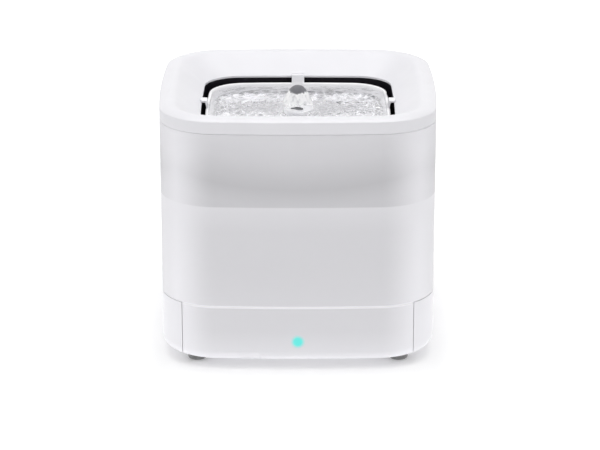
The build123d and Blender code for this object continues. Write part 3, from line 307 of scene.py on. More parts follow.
def lit_shell(name):
    """White shell, with the glow of the light guide spilt on its front around the guide."""
    material = white_shell(name)
    tree = material.node_tree
    shader = tree.nodes["Principled BSDF"]
    shader.inputs["Emission Strength"].default_value = 0.9
    x, y, z = axes(tree)
    away = distance(tree, x, calc(tree, "SUBTRACT", z, LIGHT_LEVEL))
    front = fade(tree, y, -HALF / 2, -HALF / 2 - MM)
    spill = product(tree, fade(tree, away, 6.5 * MM, 2.5 * MM), front)
    feed(shader, Emission_Color=ramp(tree, spill, (0.0, tone(0.0)), (1.0, tone(0.16, 0.92, 0.86))))
    return material


def light_net(tree):
    """Bright lines with dark cells between them, bent by a noise."""
    bend = 4 * MM
    swirl = node(tree, "ShaderNodeTexNoise", Scale=130.0, Detail=2.0)
    tree.links.new(place(tree), swirl.inputs["Vector"])
    shifted = node(tree, "ShaderNodeVectorMath", operation="MULTIPLY_ADD")
    tree.links.new(swirl.outputs["Color"], shifted.inputs[0])
    shifted.inputs[1].default_value = (bend, bend, bend)
    tree.links.new(place(tree), shifted.inputs[2])
    net = node(tree, "ShaderNodeTexVoronoi", feature="DISTANCE_TO_EDGE", Scale=160.0)
    tree.links.new(shifted.outputs["Vector"], net.inputs["Vector"])
    return ramp(
        tree, net.outputs["Distance"], (0.0, tone(0.95, 0.95, 0.97)),
        (0.14, tone(0.50, 0.50, 0.52)), (0.40, tone(0.22, 0.22, 0.235)),
    )


def white_dish(name):
    """Glossy dish; light gathered by the ripples draws a net over the floor under the water."""
    material, tree, shader = new_material(name, Coat_Weight=0.4, Coat_Roughness=0.05, Roughness=0.24)
    x, y, z = axes(tree)
    wall = fade(tree, z, DISH_FLOOR + 2 * MM, DISH_FLOOR + 8 * MM)
    light = mixed(tree, wall, light_net(tree), tone(0.92, 0.92, 0.94))
    side = sideways(tree, x, y, "MAXIMUM")
    wet = product(
        tree,
        fade(tree, side, DISH_HALF - 3.6 * MM, DISH_HALF - 4.4 * MM),
        fade(tree, z, DISH_FLOOR - 0.8 * MM, DISH_FLOOR - 0.4 * MM),
        fade(tree, z, DISH_WATER + 0.1 * MM, DISH_WATER - 0.6 * MM),
    )
    plain = cloudy(tree, grain(tree, 25, 2), tone(0.90, 0.895, 0.925), tone(0.92, 0.915, 0.945))
    # Up to just above its lip the dish is painted lighter than its hooks: a painted lift of the shade
    # in the hollow of the dish.
    lip = fade(tree, z, DISH_LIP + 1.2 * MM, DISH_LIP + 0.5 * MM)
    plain = mixed(tree, lip, plain, tone(0.985, 0.98, 1.0))
    feed(shader, Base_Color=mixed(tree, wet, plain, light))
    bump(tree, shader, grain(tree, 2400, 2), 0.006 * MM)
    return material


def foot_rubber(name):
    """Dark rubber with a polished skin and a little dust."""
    material, tree, shader = new_material(name, Coat_Weight=0.7, Coat_Roughness=0.14)
    dust = grain(tree, 420, 4)
    feed(
        shader,
        Base_Color=ramp(tree, dust, (0.35, tone(0.12)), (0.75, tone(0.18))),
        Roughness=spread(tree, dust, 0.34, 0.5),
    )
    bump(tree, shader, grain(tree, 1800, 2), 0.02 * MM)
    return material


def silicone(name):
    """Milky seal with a soft sheen."""
    material, tree, shader = new_material(
        name, Roughness=0.5, Transmission_Weight=0.2, Subsurface_Weight=0.3, Subsurface_Scale=2 * MM,
    )
    cloud = cloudy(tree, grain(tree, 160, 2), tone(0.66, 0.68, 0.70), tone(0.76, 0.78, 0.80))
    feed(shader, Base_Color=cloud)
    bump(tree, shader, grain(tree, 1500, 2), 0.015 * MM)
    return material


def clear_tube(name):
    """Translucent hose with faint drawing lines along it."""
    material, tree, shader = new_material(name, Roughness=0.22, IOR=1.42, Transmission_Weight=0.55)
    lines = grain(tree, 900, 2, (1, 1, 0.02))
    feed(shader, Base_Color=cloudy(tree, lines, tone(0.80, 0.84, 0.86), tone(0.92, 0.94, 0.95)))
    bump(tree, shader, lines, 0.02 * MM)
    return material


def smoky_chamber(name):
    """Tinted clear plastic of the pump chamber."""
    material, tree, shader = new_material(name, IOR=1.49, Transmission_Weight=0.45)
    feed(
        shader,
        Base_Color=cloudy(tree, grain(tree, 90, 2), tone(0.42, 0.46, 0.50), tone(0.50, 0.54, 0.58)),
        Roughness=spread(tree, grain(tree, 300, 2), 0.12, 0.24),
    )
    bump(tree, shader, grain(tree, 1800, 2), 0.01 * MM)
    return material


def mode_button(name):
    """Satin button with a fine grain."""
    material, tree, shader = new_material(name, Coat_Weight=0.2, Coat_Roughness=0.1)
    feed(
        shader,
        Base_Color=cloudy(tree, grain(tree, 200, 2), tone(0.60, 0.61, 0.63), tone(0.66, 0.67, 0.69)),
        Roughness=spread(tree, grain(tree, 400, 2), 0.24, 0.34),
    )
    bump(tree, shader, grain(tree, 2200, 2), 0.012 * MM)
    return material


def sponge(name):
    """Open foam: pores painted dark for the shade inside them, between light struts."""
    material, tree, shader = new_material(name, Roughness=0.9)
    pores = cells(tree, 750)
    # Pores painted dark, as the shade inside them.
    foam_and_highlight = ramp(
        tree, pores, (0.15, tone(0.04, 0.05, 0.07)), (0.45, tone(0.16, 0.19, 0.24)),
        (0.8, tone(0.26, 0.30, 0.36)),
    )
    feed(shader, Base_Color=foam_and_highlight)
    bump(tree, shader, pores, 0.6 * MM)
    return material


def wadding(name):
    """White fibre fleece."""
    material, tree, shader = new_material(name, Roughness=0.95, Sheen_Weight=0.4)
    strands = [grain(tree, 260, 5, stretch, 0.6) for stretch in ((1, 9, 9), (9, 1, 9))]
    fibres = calc(tree, "MAXIMUM", *strands)
    feed(shader, Base_Color=ramp(tree, fibres, (0.40, tone(0.60, 0.61, 0.62)), (0.62, tone(0.88))))
    bump(tree, shader, fibres, 0.5 * MM)
    return material


def carbon(name):
    """Bed of carbon granules, each with its own sheen, painted lighter in its middle and darker towards
    the gaps as shade.
    """
    material, tree, shader = new_material(name, Roughness=0.5)
    grains = cells(tree, 620)
    # Granules painted lighter in the middle and darker towards the gaps, as painted shade.
    feed(
        shader,
        Base_Color=ramp(tree, grains, (0.2, tone(0.045)), (0.5, tone(0.018)), (0.75, tone(0.002))),
        Roughness=spread(tree, grain(tree, 620, 1), 0.3, 0.75, 0.3, 0.7),
    )
    bump(tree, shader, inverse(tree, grains), 1.2 * MM)
    return material


# ---------------------------------------------------------------- metal and electronics
def metal(name, shade, roughness, lines, depth=0.004):
    """Metal with fine working lines."""
    material, tree, shader = new_material(name, Metallic=1.0)
    streaks = grain(tree, 500, 3, lines)
    feed(
        shader,
        Base_Color=cloudy(tree, streaks, *varied(shade, 0.10)),
        Roughness=spread(tree, streaks, roughness - 0.07, roughness + 0.07, 0.3, 0.7),
    )
    bump(tree, shader, streaks, depth * MM)
    return material


def inlet_metal(name):
    return metal(name, (0.66, 0.66, 0.67), 0.26, (40, 1, 40))


def shaft_steel(name):
    return metal(name, (0.72, 0.72, 0.73), 0.16, (1, 1, 60), 0.002)


def screw_steel(name, head, arm, slot):
    """Zinc-plated steel with a cross recess in each head, painted dark as its shade; the heads mirror
    in X and Y.
    """
    material, tree, shader = new_material(name, Metallic=1.0, Roughness=0.3)
    x, y, _ = axes(tree)
    far = highest(name)
    dx, dy = (
        calc(tree, "ABSOLUTE", calc(tree, "SUBTRACT", calc(tree, "ABSOLUTE", value), edge - head))
        for value, edge in ((x, far.x), (y, far.y))
    )
    narrow = fade(tree, calc(tree, "MINIMUM", dx, dy), slot, slot * 0.6)
    short = fade(tree, calc(tree, "MAXIMUM", dx, dy), arm, arm * 0.85)
    cross = product(tree, narrow, short)
    # The cross recess is painted dark, as the shade inside it.
    feed(shader, Base_Color=ramp(tree, cross, (0.0, tone(0.62, 0.61, 0.59)), (1.0, tone(0.06))))
    bump(tree, shader, inverse(tree, cross), 0.6 * MM)
    return material


def cover_screw(name):
    return screw_steel(name, head=2.9 * MM, arm=1.9 * MM, slot=0.42 * MM)


def board_screw(name):
    return screw_steel(name, head=2.3 * MM, arm=1.5 * MM, slot=0.35 * MM)


def circuit_board(name):
    """Green solder mask over raised traces, with rows of tinned pads."""
    material, tree, shader = new_material(name, Roughness=0.3, Coat_Weight=0.5, Coat_Roughness=0.1)
    wires = node(
        tree, "ShaderNodeTexBrick", offset=0.37, Scale=150.0, Mortar_Size=0.09, Mortar_Smooth=0.1,
        Color1=tone(0.006, 0.085, 0.035), Color2=tone(0.009, 0.105, 0.045),
        Mortar=tone(0.02, 0.20, 0.085),
    )
    tree.links.new(place(tree), wires.inputs["Vector"])
    dots = fade(tree, cells(tree, 330), 0.17, 0.14)
    pads = product(tree, dots, fade(tree, grain(tree, 60, 1), 0.52, 0.56))
    feed(
        shader,
        Base_Color=mixed(tree, pads, wires.outputs["Color"], tone(0.62, 0.60, 0.55)),
        Metallic=pads,
    )
    bump(tree, shader, wires.outputs["Fac"], 0.04 * MM)
    return material


def board_part(name):
    """Black chips, a ferrite choke at the side and bright capacitor cans at the rear."""
    material, tree, shader = new_material(name, Roughness=0.42)
    x, y, _ = axes(tree)
    can = fade(tree, y, 30 * MM, 32 * MM)
    choke = fade(tree, x, 13.5 * MM, 14 * MM)
    dark = cloudy(tree, grain(tree, 1200, 3), tone(0.012), tone(0.03))
    wound = mixed(tree, choke, dark, tone(0.16, 0.12, 0.10))
    feed(shader, Base_Color=mixed(tree, can, wound, tone(0.74, 0.75, 0.77)), Metallic=can)
    bump(tree, shader, grain(tree, 1500, 2), 0.02 * MM)
    return material


def wound_copper(name):
    """Flat coil: enamelled turns as fine rings."""
    material, tree, shader = new_material(
        name, Metallic=1.0, Roughness=0.28, Coat_Weight=0.5, Coat_Roughness=0.12,
    )
    rings = wave(
        tree, stretched(tree, (1, 1, 1)), wave_type="RINGS", rings_direction="Z",
        Scale=310.0, Distortion=0.15,
    )
    copper = ramp(tree, rings, (0.0, tone(0.20, 0.065, 0.025)), (0.6, tone(0.72, 0.30, 0.14)))
    feed(shader, Base_Color=copper)
    bump(tree, shader, rings, 0.15 * MM)
    return material


def layered_copper(name):
    """Windings on the poles: turns stacked side by side."""
    material, tree, shader = new_material(
        name, Metallic=1.0, Roughness=0.3, Coat_Weight=0.4, Coat_Roughness=0.15,
    )
    turns = wave(tree, place(tree), wave_type="BANDS", bands_direction="DIAGONAL", Scale=420.0)
    copper = ramp(tree, turns, (0.0, tone(0.22, 0.07, 0.03)), (0.6, tone(0.76, 0.33, 0.16)))
    feed(shader, Base_Color=copper)
    bump(tree, shader, turns, 0.12 * MM)
    return material


def laminated_steel(name):
    """Stator sheets stacked along the axis."""
    material, tree, shader = new_material(name, Metallic=1.0, Roughness=0.45)
    sheets = wave(tree, place(tree), wave_type="BANDS", bands_direction="Z", Scale=300.0)
    feed(shader, Base_Color=ramp(tree, sheets, (0.1, tone(0.10)), (0.5, tone(0.40, 0.40, 0.42))))
    bump(tree, shader, sheets, 0.05 * MM)
    return material


def ferrite(name):
    """Sintered dark ceramic with bright specks."""
    material, tree, shader = new_material(name, Roughness=0.6)
    specks = cells(tree, 1500)
    ceramic = ramp(tree, specks, (0.08, tone(0.16)), (0.2, tone(0.035)), (0.8, tone(0.022)))
    feed(shader, Base_Color=ceramic)
    bump(tree, shader, grain(tree, 900, 4), 0.05 * MM)
    return material


def insulated_wire(name):
    """Red insulation with a light gloss."""
    material, tree, shader = new_material(name, Coat_Weight=0.3, Coat_Roughness=0.1)
    feed(
        shader,
        Base_Color=cloudy(tree, grain(tree, 120, 2), tone(0.46, 0.02, 0.015), tone(0.58, 0.035, 0.02)),
        Roughness=spread(tree, grain(tree, 900, 2), 0.3, 0.42),
    )
    bump(tree, shader, grain(tree, 1500, 2), 0.02 * MM)
    return material


def contact_tongue(name):
    """Black tongue with gold contacts side by side."""
    material, tree, shader = new_material(name, Roughness=0.32)
    x, _, _ = axes(tree)
    low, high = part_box(name)
    pitch = (high.x - low.x) / 7
    step = calc(tree, "PINGPONG", calc(tree, "SUBTRACT", x, low.x), pitch / 2)
    contact = fade(tree, step, pitch * 0.26, pitch * 0.32)
    gold = ramp(tree, contact, (0.0, tone(0.018)), (1.0, tone(0.86, 0.62, 0.22)))
    feed(shader, Base_Color=gold, Metallic=contact)
    bump(tree, shader, contact, 0.05 * MM)
    return material


def switch_body(name):
    """Metal frame in front of a dark plunger."""
    material, tree, shader = new_material(name, Roughness=0.34)
    _, y, _ = axes(tree)
    plunger = fade(tree, y, highest(name).y - 1.2 * MM, highest(name).y - 0.9 * MM)
    brushed = cloudy(tree, grain(tree, 500, 2, (40, 1, 1)), tone(0.50), tone(0.66))
    feed(
        shader,
        Base_Color=mixed(tree, plunger, brushed, tone(0.02)),
        Metallic=inverse(tree, plunger),
    )
    bump(tree, shader, grain(tree, 1500, 2), 0.01 * MM)
    return material


def glowing_guide(name):
    """Clear light guide that carries the glow of the LED to its face."""
    material, tree, shader = new_material(name, Roughness=0.3, Emission_Strength=1.1)
    x, _, z = axes(tree)
    away = distance(tree, x, calc(tree, "SUBTRACT", z, LIGHT_LEVEL))
    glow = ramp(
        tree, calc(tree, "DIVIDE", away, 3.0 * MM), (0.0, tone(0.14, 0.98, 0.92)),
        (0.7, tone(0.13, 0.94, 0.88)), (1.0, tone(0.16, 0.88, 0.83)),
    )
    feed(shader, Base_Color=glow, Emission_Color=glow)
    bump(tree, shader, grain(tree, 1200, 2), 0.02 * MM)
    return material


def led(name):
    """Yellow phosphor behind a teal glow, on a white package."""
    material, tree, shader = new_material(name, Roughness=0.3, Emission_Strength=1.0)
    _, _, z = axes(tree)
    top = fade(tree, z, LIGHT_LEVEL - 1.6 * MM, LIGHT_LEVEL - 1.2 * MM)
    feed(
        shader,
        Base_Color=ramp(tree, top, (0.0, tone(0.8)), (1.0, tone(0.75, 0.72, 0.25))),
        Emission_Color=ramp(tree, top, (0.0, tone(0.0)), (1.0, tone(0.12, 0.9, 0.8))),
    )
    bump(tree, shader, grain(tree, 1800, 2), 0.01 * MM)
    return material


# ---------------------------------------------------------------- frosted tank
def wall_shade(tree, name, x, y, z):
    """Painted light and shade of the tank's wall: a painted shadow of the filter over the middle above
    the water line, corners painted lighter for the light that shines through them, and below the water
    line a middle painted lighter towards the bottom and towards the water line.
    """
    inward = sideways(tree, x, y, "MINIMUM")
    corner = fade(tree, inward, HALF - 38 * MM, HALF - 10 * MM)
    bow = calc(tree, "POWER", calc(tree, "DIVIDE", inward, 60 * MM), 2.0)
    shadow = calc(tree, "SUBTRACT", z, calc(tree, "MULTIPLY", bow, 7 * MM))
    height = spread(tree, shadow, 0.0, 1.0, 105 * MM, 155 * MM)
    depth = spread(tree, z, 0.0, 1.0, lowest(name).z, TANK_WATER)
    # Painted shadow of the filter over the dry middle, darkest a third of the way up its band.
    dry_middle = ramp(
        tree, height, (0.10, tone(0.715)), (0.22, tone(0.68)), (0.33, tone(0.635)),
        (0.52, tone(0.71)), (0.70, tone(0.79)), (0.95, tone(0.85)),
    )
    # Corners painted lighter above the water line, for the light that shines through them.
    dry_corner = ramp(
        tree, height, (0.10, tone(0.97)), (0.33, tone(0.95)), (0.55, tone(1.0)), (0.95, tone(1.0)),
    )
    # Below the water line the middle is painted lighter towards the bottom and towards the water line.
    wet_middle = ramp(
        tree, depth, (0.0, tone(0.97)), (0.07, tone(0.86)), (0.2, tone(0.785)), (0.6, tone(0.78)),
        (0.84, tone(0.80)), (0.94, tone(0.85)), (1.0, tone(0.88)),
    )
    # Corners painted lighter below the water line too.
    wet_corner = ramp(tree, depth, (0.0, tone(0.99)), (0.3, tone(0.97)), (1.0, tone(0.99)))
    # The water line, where the painted light and shade change.
    wet = fade(tree, z, TANK_WATER + 0.35 * MM, TANK_WATER - 0.35 * MM)
    middle = mixed(tree, wet, dry_middle, wet_middle)
    painted_corner_light = mixed(tree, wet, dry_corner, wet_corner)
    return mixed(tree, corner, middle, painted_corner_light)


def facing_out(tree):
    """1 on faces that look away from the middle of the piece, 0 on the inner ones."""
    flat = node(tree, "ShaderNodeVectorMath", operation="MULTIPLY")
    flat.inputs[1].default_value = (1.0, 1.0, 0.0)
    tree.links.new(place(tree), flat.inputs[0])
    turned = node(tree, "ShaderNodeVectorMath", operation="DOT_PRODUCT")
    tree.links.new(flat.outputs["Vector"], turned.inputs[0])
    tree.links.new(tree.nodes.new("ShaderNodeTexCoord").outputs["Normal"], turned.inputs[1])
    return fade(tree, turned.outputs["Value"], 10 * MM, 20 * MM)


def frosted_tank(name):
    """Milky tank, with a painted highlight and a faint painted glow along the seam over the apron, and
    a soft teal glow painted in front of the light.
    """
    material, tree, shader = new_material(
        name, IOR=1.5, Transmission_Weight=0.15, Coat_Weight=0.15, Coat_Roughness=0.1,
        Emission_Color=tone(1.0),
    )
    x, y, z = axes(tree)
    # Only faces that look out carry the painted light and shade of the wall; inner faces stay plain.
    body = mixed(tree, facing_out(tree), tone(0.97), wall_shade(tree, name, x, y, z))
    # Painted highlight along the seam over the apron, with a faint painted glow from its emission.
    seam_highlight = product(
        tree,
        fade(tree, z, SEAM - 1.6 * MM, SEAM - 0.5 * MM),
        fade(tree, z, SEAM + 0.7 * MM, SEAM + 0.3 * MM),
        fade(tree, calc(tree, "ABSOLUTE", x), APRON_SIDE + 0.5 * MM, APRON_SIDE - 0.5 * MM),
    )
    body = mixed(tree, seam_highlight, body, tone(1.0))
    cloud = cloudy(tree, grain(tree, 18, 3), tone(0.96, 0.953, 0.99), tone(0.97, 0.963, 1.0))
    body = mixed(tree, 1.0, body, cloud, "MULTIPLY")
    # Painted teal glow in front of the light, for the light that shines through the wall there.
    away = distance(tree, x, calc(tree, "SUBTRACT", z, LIGHT_LEVEL + 1.7 * MM))
    front = fade(tree, y, -HALF + 1.0 * MM, -HALF + 0.5 * MM)
    lens = product(tree, fade(tree, away, 5.0 * MM, 2.0 * MM), front)
    feed(
        shader,
        Base_Color=mixed(tree, lens, body, tone(0.13, 0.96, 0.88)),
        Roughness=spread(tree, grain(tree, 700, 3), 0.36, 0.46, 0.3, 0.7),
        Emission_Strength=spread(tree, seam_highlight, 0.0, 0.05),
    )
    bump(tree, shader, grain(tree, 2600, 2), 0.01 * MM)
    return material


LOOKS = {
    "base_shell": lit_shell,
    "bottom_cover": white_shell,
    "rubber_feet": foot_rubber,
    "cover_screws": cover_screw,
    "control_board": circuit_board,
    "board_parts": board_part,
    "board_screws": board_screw,
    "transmitter_coil": wound_copper,
    "ferrite_disc": ferrite,
    "coil_leads": insulated_wire,
    "light_pipe": glowing_guide,
    "status_led": led,
    "power_inlet": inlet_metal,
    "inlet_tongue": contact_tongue,
    "tact_switch": switch_body,
    "mode_button": mode_button,
    "water_tank": frosted_tank,
    "lid_ring": white_shell,
    "lid_seal": silicone,
    "drain_gutter": black_gutter,
    "filter_frame": filter_plastic,
    "filter_grid": filter_plastic,
    "filter_wadding": wadding,
    "carbon_bed": carbon,
    "drinking_dish": white_dish,
    "spring_nozzle": white_dish,
    "riser_tube": clear_tube,
    "riser_seal": silicone,
    "pump_housing": pump_shell,
    "pump_plate": grey_cover,
    "receiver_coil": wound_copper,
    "pump_board": circuit_board,
    "stator_core": laminated_steel,
    "stator_windings": layered_copper,
    "pump_shaft": shaft_steel,
    "rotor_magnet": ferrite,
    "impeller": impeller_blue,
    "pump_chamber": smoky_chamber,
    "intake_cover": grey_cover,
    "pump_sponge": sponge,
}
for node_name, look in LOOKS.items():
    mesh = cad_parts[node_name].data
    mesh.materials.clear()
    mesh.materials.append(look(node_name))


# ---------------------------------------------------------------- water as a material
def add_painted_spring(tree, shader, painted_ripple_shade):
    """Painted highlight in the spring, under a cap painted dark as the refraction of the black gutter
    behind it.
    """
    x, y, z = axes(tree)
    uneven = spread(tree, grain(tree, 260, 3), -0.8 * MM, 0.8 * MM, 0.3, 0.7)
    inner = fade(tree, calc(tree, "ADD", distance(tree, x, y), uneven), 10.8 * MM, 9.2 * MM)
    level = calc(tree, "ADD", z, uneven)
    raised = fade(tree, level, DISH_WATER + 1.1 * MM, DISH_WATER + 2.4 * MM)
    # Top of the spring painted dark: a painted refraction of the black gutter behind it.
    painted_refraction_cap = fade(tree, level, DISH_WATER + 11.9 * MM, DISH_WATER + 12.7 * MM)
    painted_spring_highlight = product(tree, inner, raised, inverse(tree, painted_refraction_cap))
    # Painted highlight in the spring, white in an uneven grain.
    painted_highlight_grain = ramp(
        tree, grain(tree, 420, 3, (1, 1, 0.5)), (0.36, tone(0.72, 0.72, 0.74)),
        (0.47, tone(0.97)), (0.6, tone(1.0)),
    )
    white = mixed(tree, painted_spring_highlight, painted_ripple_shade, painted_highlight_grain)
    feed(
        shader,
        Base_Color=mixed(tree, painted_refraction_cap, white, tone(0.16, 0.16, 0.175)),
        Roughness=spread(tree, painted_refraction_cap, 0.0, 0.4),
        Transmission_Weight=spread(tree, calc(tree, "MAXIMUM", painted_spring_highlight, painted_refraction_cap), 1.0, 0.1),
    )


def water(name, foam_and_highlight=False):
    """Clear water that lets light down to what lies under it, with its tint painted darker in patches
    as ripple shade and a painted highlight where it wells up.
    """
    material, tree, shader = new_material(name, Roughness=0.0, IOR=1.333, Transmission_Weight=1.0)
    # Painted ripple shade: the tint of the water darkens in patches.
    painted_ripple_shade = ramp(
        tree, grain(tree, 200, 3, distortion=1.2), (0.38, tone(0.90, 0.90, 0.92)), (0.6, tone(1.0)),
    )
    feed(shader, Base_Color=painted_ripple_shade)
    if foam_and_highlight:
        add_painted_spring(tree, shader, painted_ripple_shade)
    clear = tree.nodes.new("ShaderNodeBsdfTransparent")
    path = tree.nodes.new("ShaderNodeLightPath")
    pick = tree.nodes.new("ShaderNodeMixShader")
    tree.links.new(path.outputs["Is Shadow Ray"], pick.inputs[0])
    tree.links.new(shader.outputs["BSDF"], pick.inputs[1])
    tree.links.new(clear.outputs[0], pick.inputs[2])
    tree.links.new(pick.outputs[0], tree.nodes["Material Output"].inputs["Surface"])
    return material


# ---------------------------------------------------------------- water as meshes
def spoke_angles(count):
    return [2 * pi * number / count for number in range(count)]


def outline_radius(half, corner, bow, angle):
    """Distance from the middle to a square with bowed sides and round corners."""
    turn = pi / 4 - asin((bow - half) / ((bow - corner) * sqrt(2)))
    across = bow * sin(turn)
    along = half - bow + bow * cos(turn)
    quarter = angle % (pi / 2)
    off = min(quarter, pi / 2 - quarter)
    if off <= atan2(across, along):
        reach = half - bow
        return reach * cos(off) + sqrt(bow ** 2 - (reach * sin(off)) ** 2)
    centre = (bow - corner) * sin(turn)
    along_ray = centre * (sin(off) + cos(off))
    return along_ray + sqrt(along_ray ** 2 - 2 * centre ** 2 + corner ** 2)


def closed_mesh(name, rings, smooth):
    """Body of rings with the same number of points; the last ring closes on the first."""
    spokes = len(rings[0])
    verts = [point for ring in rings for point in ring]
    faces = []
    for number in range(len(rings)):
        start, following = number * spokes, (number + 1) % len(rings) * spokes
        for spoke in range(spokes):
            beside = (spoke + 1) % spokes
            faces.append((start + spoke, start + beside, following + beside, following + spoke))
    mesh = bpy.data.meshes.new(name)
    mesh.from_pydata(verts, [], faces)
    mesh.polygons.foreach_set("use_smooth", [smooth] * len(faces))
    mesh.update()
    made = bpy.data.objects.new(name, mesh)
    bpy.context.scene.collection.objects.link(made)
    return made


def dish_radius(level, angle, extra):
    """Distance from the middle to the inside of the dish at a level."""
    half = DISH_HALF - DISH_WALL - DISH_TAPER * (DISH_LIP - level) / (DISH_LIP - DISH_FLOOR)
    move = DISH_HALF - half
    return outline_radius(half + extra, DISH_CORNER - move + extra, DISH_BOW - move + extra, angle)


def water_level(x, y, edge):
    """Height of the water in the dish: the spring, its rings and the chop around it."""
    r = hypot(x, y)
    angle = atan2(y, x)
    wobble = noise.noise(Vector((cos(angle) * 1.6, sin(angle) * 1.6, r / (9 * MM))))
    width = SPRING_WIDTH * (1 + 0.10 * wobble)
    spring = SPRING_HEIGHT * exp(-(r / width) ** SPRING_STEEPNESS)
    outside = 1 - exp(-(r / SPRING_FOOT) ** 4)
    rings = RING_HEIGHT * sin(2 * pi * r / RING_LENGTH + 2.0 * wobble) * exp(-r / RING_REACH)
    fan = FAN_HEIGHT * cos(FAN_COUNT * angle + 1.5 * wobble) * exp(-((r - FAN_RADIUS) / FAN_WIDTH) ** 2)
    chop = sum(height * noise.noise(Vector((x, y, seed)) / length) for height, length, seed in CHOPS)
    calm = min(1.0, max(0.0, (edge - r) / CALM_EDGE))
    calm *= 1 - CALM_SHARE * min(1.0, max(0.0, (y - CALM_REAR[0]) / CALM_REAR[1]))
    return DISH_WATER + spring + outside * calm * (rings + fan + chop)


def build_dish_water():
    """Body of water from the floor of the dish over the nozzle up to the rippled surface."""
    angles = spoke_angles(DISH_SPOKES)

    def round_ring(r, z):
        return [(r * cos(a), r * sin(a), z) for a in angles]

    # From the inside of the nozzle's mouth over its top, down its outside and out to the floor.
    rings = [
        round_ring(r, z) for r, z in (
            (6.2 * MM, NOZZLE_TOP - 3 * MM),
            (3.2 * MM, NOZZLE_TOP - 0.05 * MM),
            (7.8 * MM, NOZZLE_TOP - 0.05 * MM),
            (8.0 * MM, NOZZLE_TOP - 3 * MM),
            (8.9 * MM, NOZZLE_TOP - 8 * MM),
            (11 * MM, DISH_FLOOR + 2.2 * MM),
            (14.6 * MM, DISH_FLOOR + 1.0 * MM),
        )
    ]
    # Round the inner edge of the dish, up to its wall.
    for level, extra in (
        (DISH_FLOOR - 0.1 * MM, -3.6 * MM),
        (DISH_FLOOR + 0.9 * MM, -0.9 * MM),
        (DISH_FLOOR + 3.8 * MM, OVERLAP),
    ):
        radii = [dish_radius(level, a, extra) for a in angles]
        rings.append([(r * cos(a), r * sin(a), level) for r, a in zip(radii, angles)])
    # The surface, from the wall to the middle of the spring.
    edges = [dish_radius(DISH_WATER, a, OVERLAP) for a in angles]
    for step in range(DISH_STEPS + 1):
        share = 1 - step / DISH_STEPS
        ring = []
        for edge, a in zip(edges, angles):
            r = max(edge * share, POLE)
            x, y = r * cos(a), r * sin(a)
            ring.append((x, y, water_level(x, y, edge)))
        rings.append(ring)
    rings.append(round_ring(POLE, NOZZLE_TOP - 3.1 * MM))
    body = closed_mesh("dish_water", rings, smooth=True)
    body.data.materials.append(water("dish_water", foam_and_highlight=True))
    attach(body, "dish")


def build_tank_water():
    """Water in the tank, round the pump and the riser."""
    angles = spoke_angles(TANK_SPOKES)

    def round_ring(r, z):
        return [(r * cos(a), r * sin(a), z) for a in angles]

    def wall_ring(inset, z):
        half, corner, bow = HALF - inset, TANK_CORNER - inset, TANK_BOW - inset
        radii = [outline_radius(half, corner, bow, a) for a in angles]
        return [(r * cos(a), r * sin(a), z) for r, a in zip(radii, angles)]

    floor = SEAM + TANK_FLOOR
    pad_top = floor + 2.3 * MM
    ceiling = PUMP_TOP + CAVITY_RISE
    riser = RISER_SIDE + 0.6 * MM
    pump = PUMP_SIDE + 3.5 * MM
    pad = PUMP_SIDE + 7 * MM
    rings = [
        round_ring(riser, TANK_WATER), round_ring(riser, ceiling), round_ring(pump, ceiling),
        round_ring(pump, pad_top), round_ring(pad, pad_top), round_ring(pad, floor),
        wall_ring(8.2 * MM, floor), wall_ring(4.4 * MM, floor + 2.2 * MM),
        wall_ring(2.8 * MM, floor + 6 * MM), wall_ring(2.8 * MM, TANK_WATER),
    ]
    body = closed_mesh("tank_water", rings, smooth=False)
    body.data.materials.append(water("tank_water"))
    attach(body, "tank")


build_dish_water()
build_tank_water()

# ---------------------------------------------------------------- stage, light and camera
FLOOR_SIZE = 6.0
FLOOR_GLOW = 0.39                            # light that the floor gives back, near the object
GLOW_REACH = (0.15, 0.45)                    # full up to the first, none past the second
FLOOR_LIFT = (0.10, 0.45)                    # brightness that the camera sees added, near and away
LIFT_REACH = 50 * MM                         # strip around the object in which it rises
WORLD_LEVEL = 0.60
LAMP_TARGET = (0.0, 0.0, 0.1)
LAMPS = (                                    # name, place, side in metres, power in watts
    ("top_light", (0.0, 0.0, 1.3), 1.2, 8.2),
    ("left_light", (-1.6, -0.55, 0.7), 0.9, 3.2),
    ("right_light", (1.6, -0.55, 0.7), 0.9, 2.2),
)
SENSOR = 36.0
FOCAL_LENGTH = SENSOR * 2494.5 / 600         # fitted in pixels of a photo 600 wide
CAMERA_PLACE = (0.00136, -1.5824, 0.6035)
CAMERA_PITCH = 18.68                         # degrees below the horizon


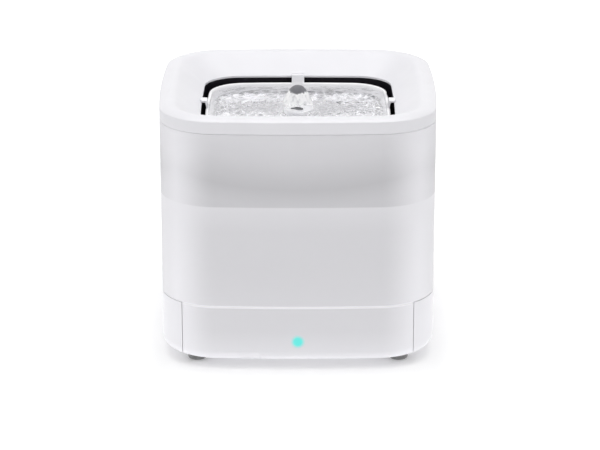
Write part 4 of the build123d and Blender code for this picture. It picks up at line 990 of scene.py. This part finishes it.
def build_stage():
    """White floor that keeps the shadow of the object and is pure white away from it, with painted
    shade near the object and a painted glow there.
    """
    mesh = bpy.data.meshes.new("floor")
    corners = [(FLOOR_SIZE * x, FLOOR_SIZE * y, 0) for x, y in ((-1, -1), (1, -1), (1, 1), (-1, 1))]
    mesh.from_pydata(corners, [], [(0, 1, 2, 3)])
    floor = bpy.data.objects.new("floor", mesh)
    bpy.context.scene.collection.objects.link(floor)
    material = bpy.data.materials.new("floor")
    material.use_nodes = True
    tree = material.node_tree
    tree.nodes.clear()
    output = tree.nodes.new("ShaderNodeOutputMaterial")
    x, y, _ = axes(tree)
    side = sideways(tree, x, y, "MAXIMUM")
    # Painted glow near the object: light that the floor gives back to it.
    glow = calc(tree, "MULTIPLY", fade(tree, side, GLOW_REACH[1], GLOW_REACH[0]), FLOOR_GLOW)
    # Near the object less brightness is added for the camera: painted shade that keeps the shadow tight
    # to the object.
    white = spread(tree, side, *FLOOR_LIFT, HALF, HALF + LIFT_REACH)
    diffuse = node(tree, "ShaderNodeBsdfDiffuse", Color=tone(0.93))
    lift = node(tree, "ShaderNodeEmission", Color=tone(1.0))
    path = tree.nodes.new("ShaderNodeLightPath")
    strength = node(tree, "ShaderNodeMix", data_type="FLOAT")
    tree.links.new(path.outputs["Is Camera Ray"], strength.inputs[0])
    tree.links.new(glow, strength.inputs[2])
    tree.links.new(white, strength.inputs[3])
    feed(lift, Strength=strength.outputs[0])
    both = tree.nodes.new("ShaderNodeAddShader")
    tree.links.new(diffuse.outputs[0], both.inputs[0])
    tree.links.new(lift.outputs[0], both.inputs[1])
    feed(output, Surface=both.outputs[0])
    mesh.materials.append(material)


def build_lamp(name, spot, size, power):
    data = bpy.data.lights.new(name, "AREA")
    data.shape = "SQUARE"
    data.size = size
    data.energy = power
    lamp = bpy.data.objects.new(name, data)
    lamp.location = spot
    aim = Vector(LAMP_TARGET) - Vector(spot)
    lamp.rotation_euler = aim.to_track_quat("-Z", "Y").to_euler()
    bpy.context.scene.collection.objects.link(lamp)


def build_world():
    """Even soft light; white where the camera, a glossy or a clear piece looks straight at it."""
    world = bpy.data.worlds.new("studio")
    bpy.context.scene.world = world
    world.use_nodes = True
    tree = world.node_tree
    tree.nodes.clear()
    output = tree.nodes.new("ShaderNodeOutputWorld")
    soft = node(tree, "ShaderNodeBackground", Color=tone(1.0), Strength=WORLD_LEVEL)
    seen = node(tree, "ShaderNodeBackground", Color=tone(1.0), Strength=1.0)
    path = tree.nodes.new("ShaderNodeLightPath")
    pick = tree.nodes.new("ShaderNodeMixShader")
    direct = calc(tree, "MAXIMUM", path.outputs["Is Camera Ray"], path.outputs["Is Transmission Ray"])
    direct = calc(tree, "MAXIMUM", direct, path.outputs["Is Glossy Ray"])
    tree.links.new(direct, pick.inputs[0])
    tree.links.new(soft.outputs[0], pick.inputs[1])
    tree.links.new(seen.outputs[0], pick.inputs[2])
    feed(output, Surface=pick.outputs[0])


def build_camera():
    data = bpy.data.cameras.new("camera")
    data.sensor_fit = "HORIZONTAL"
    data.sensor_width = SENSOR
    data.lens = FOCAL_LENGTH
    data.clip_end = 20.0
    camera = bpy.data.objects.new("camera", data)
    camera.location = CAMERA_PLACE
    camera.rotation_euler = (radians(90 - CAMERA_PITCH), 0.0, 0.0)
    bpy.context.scene.collection.objects.link(camera)
    bpy.context.scene.camera = camera


build_stage()
build_world()
for lamp_values in LAMPS:
    build_lamp(*lamp_values)
build_camera()
bpy.context.scene.view_settings.view_transform = "Standard"
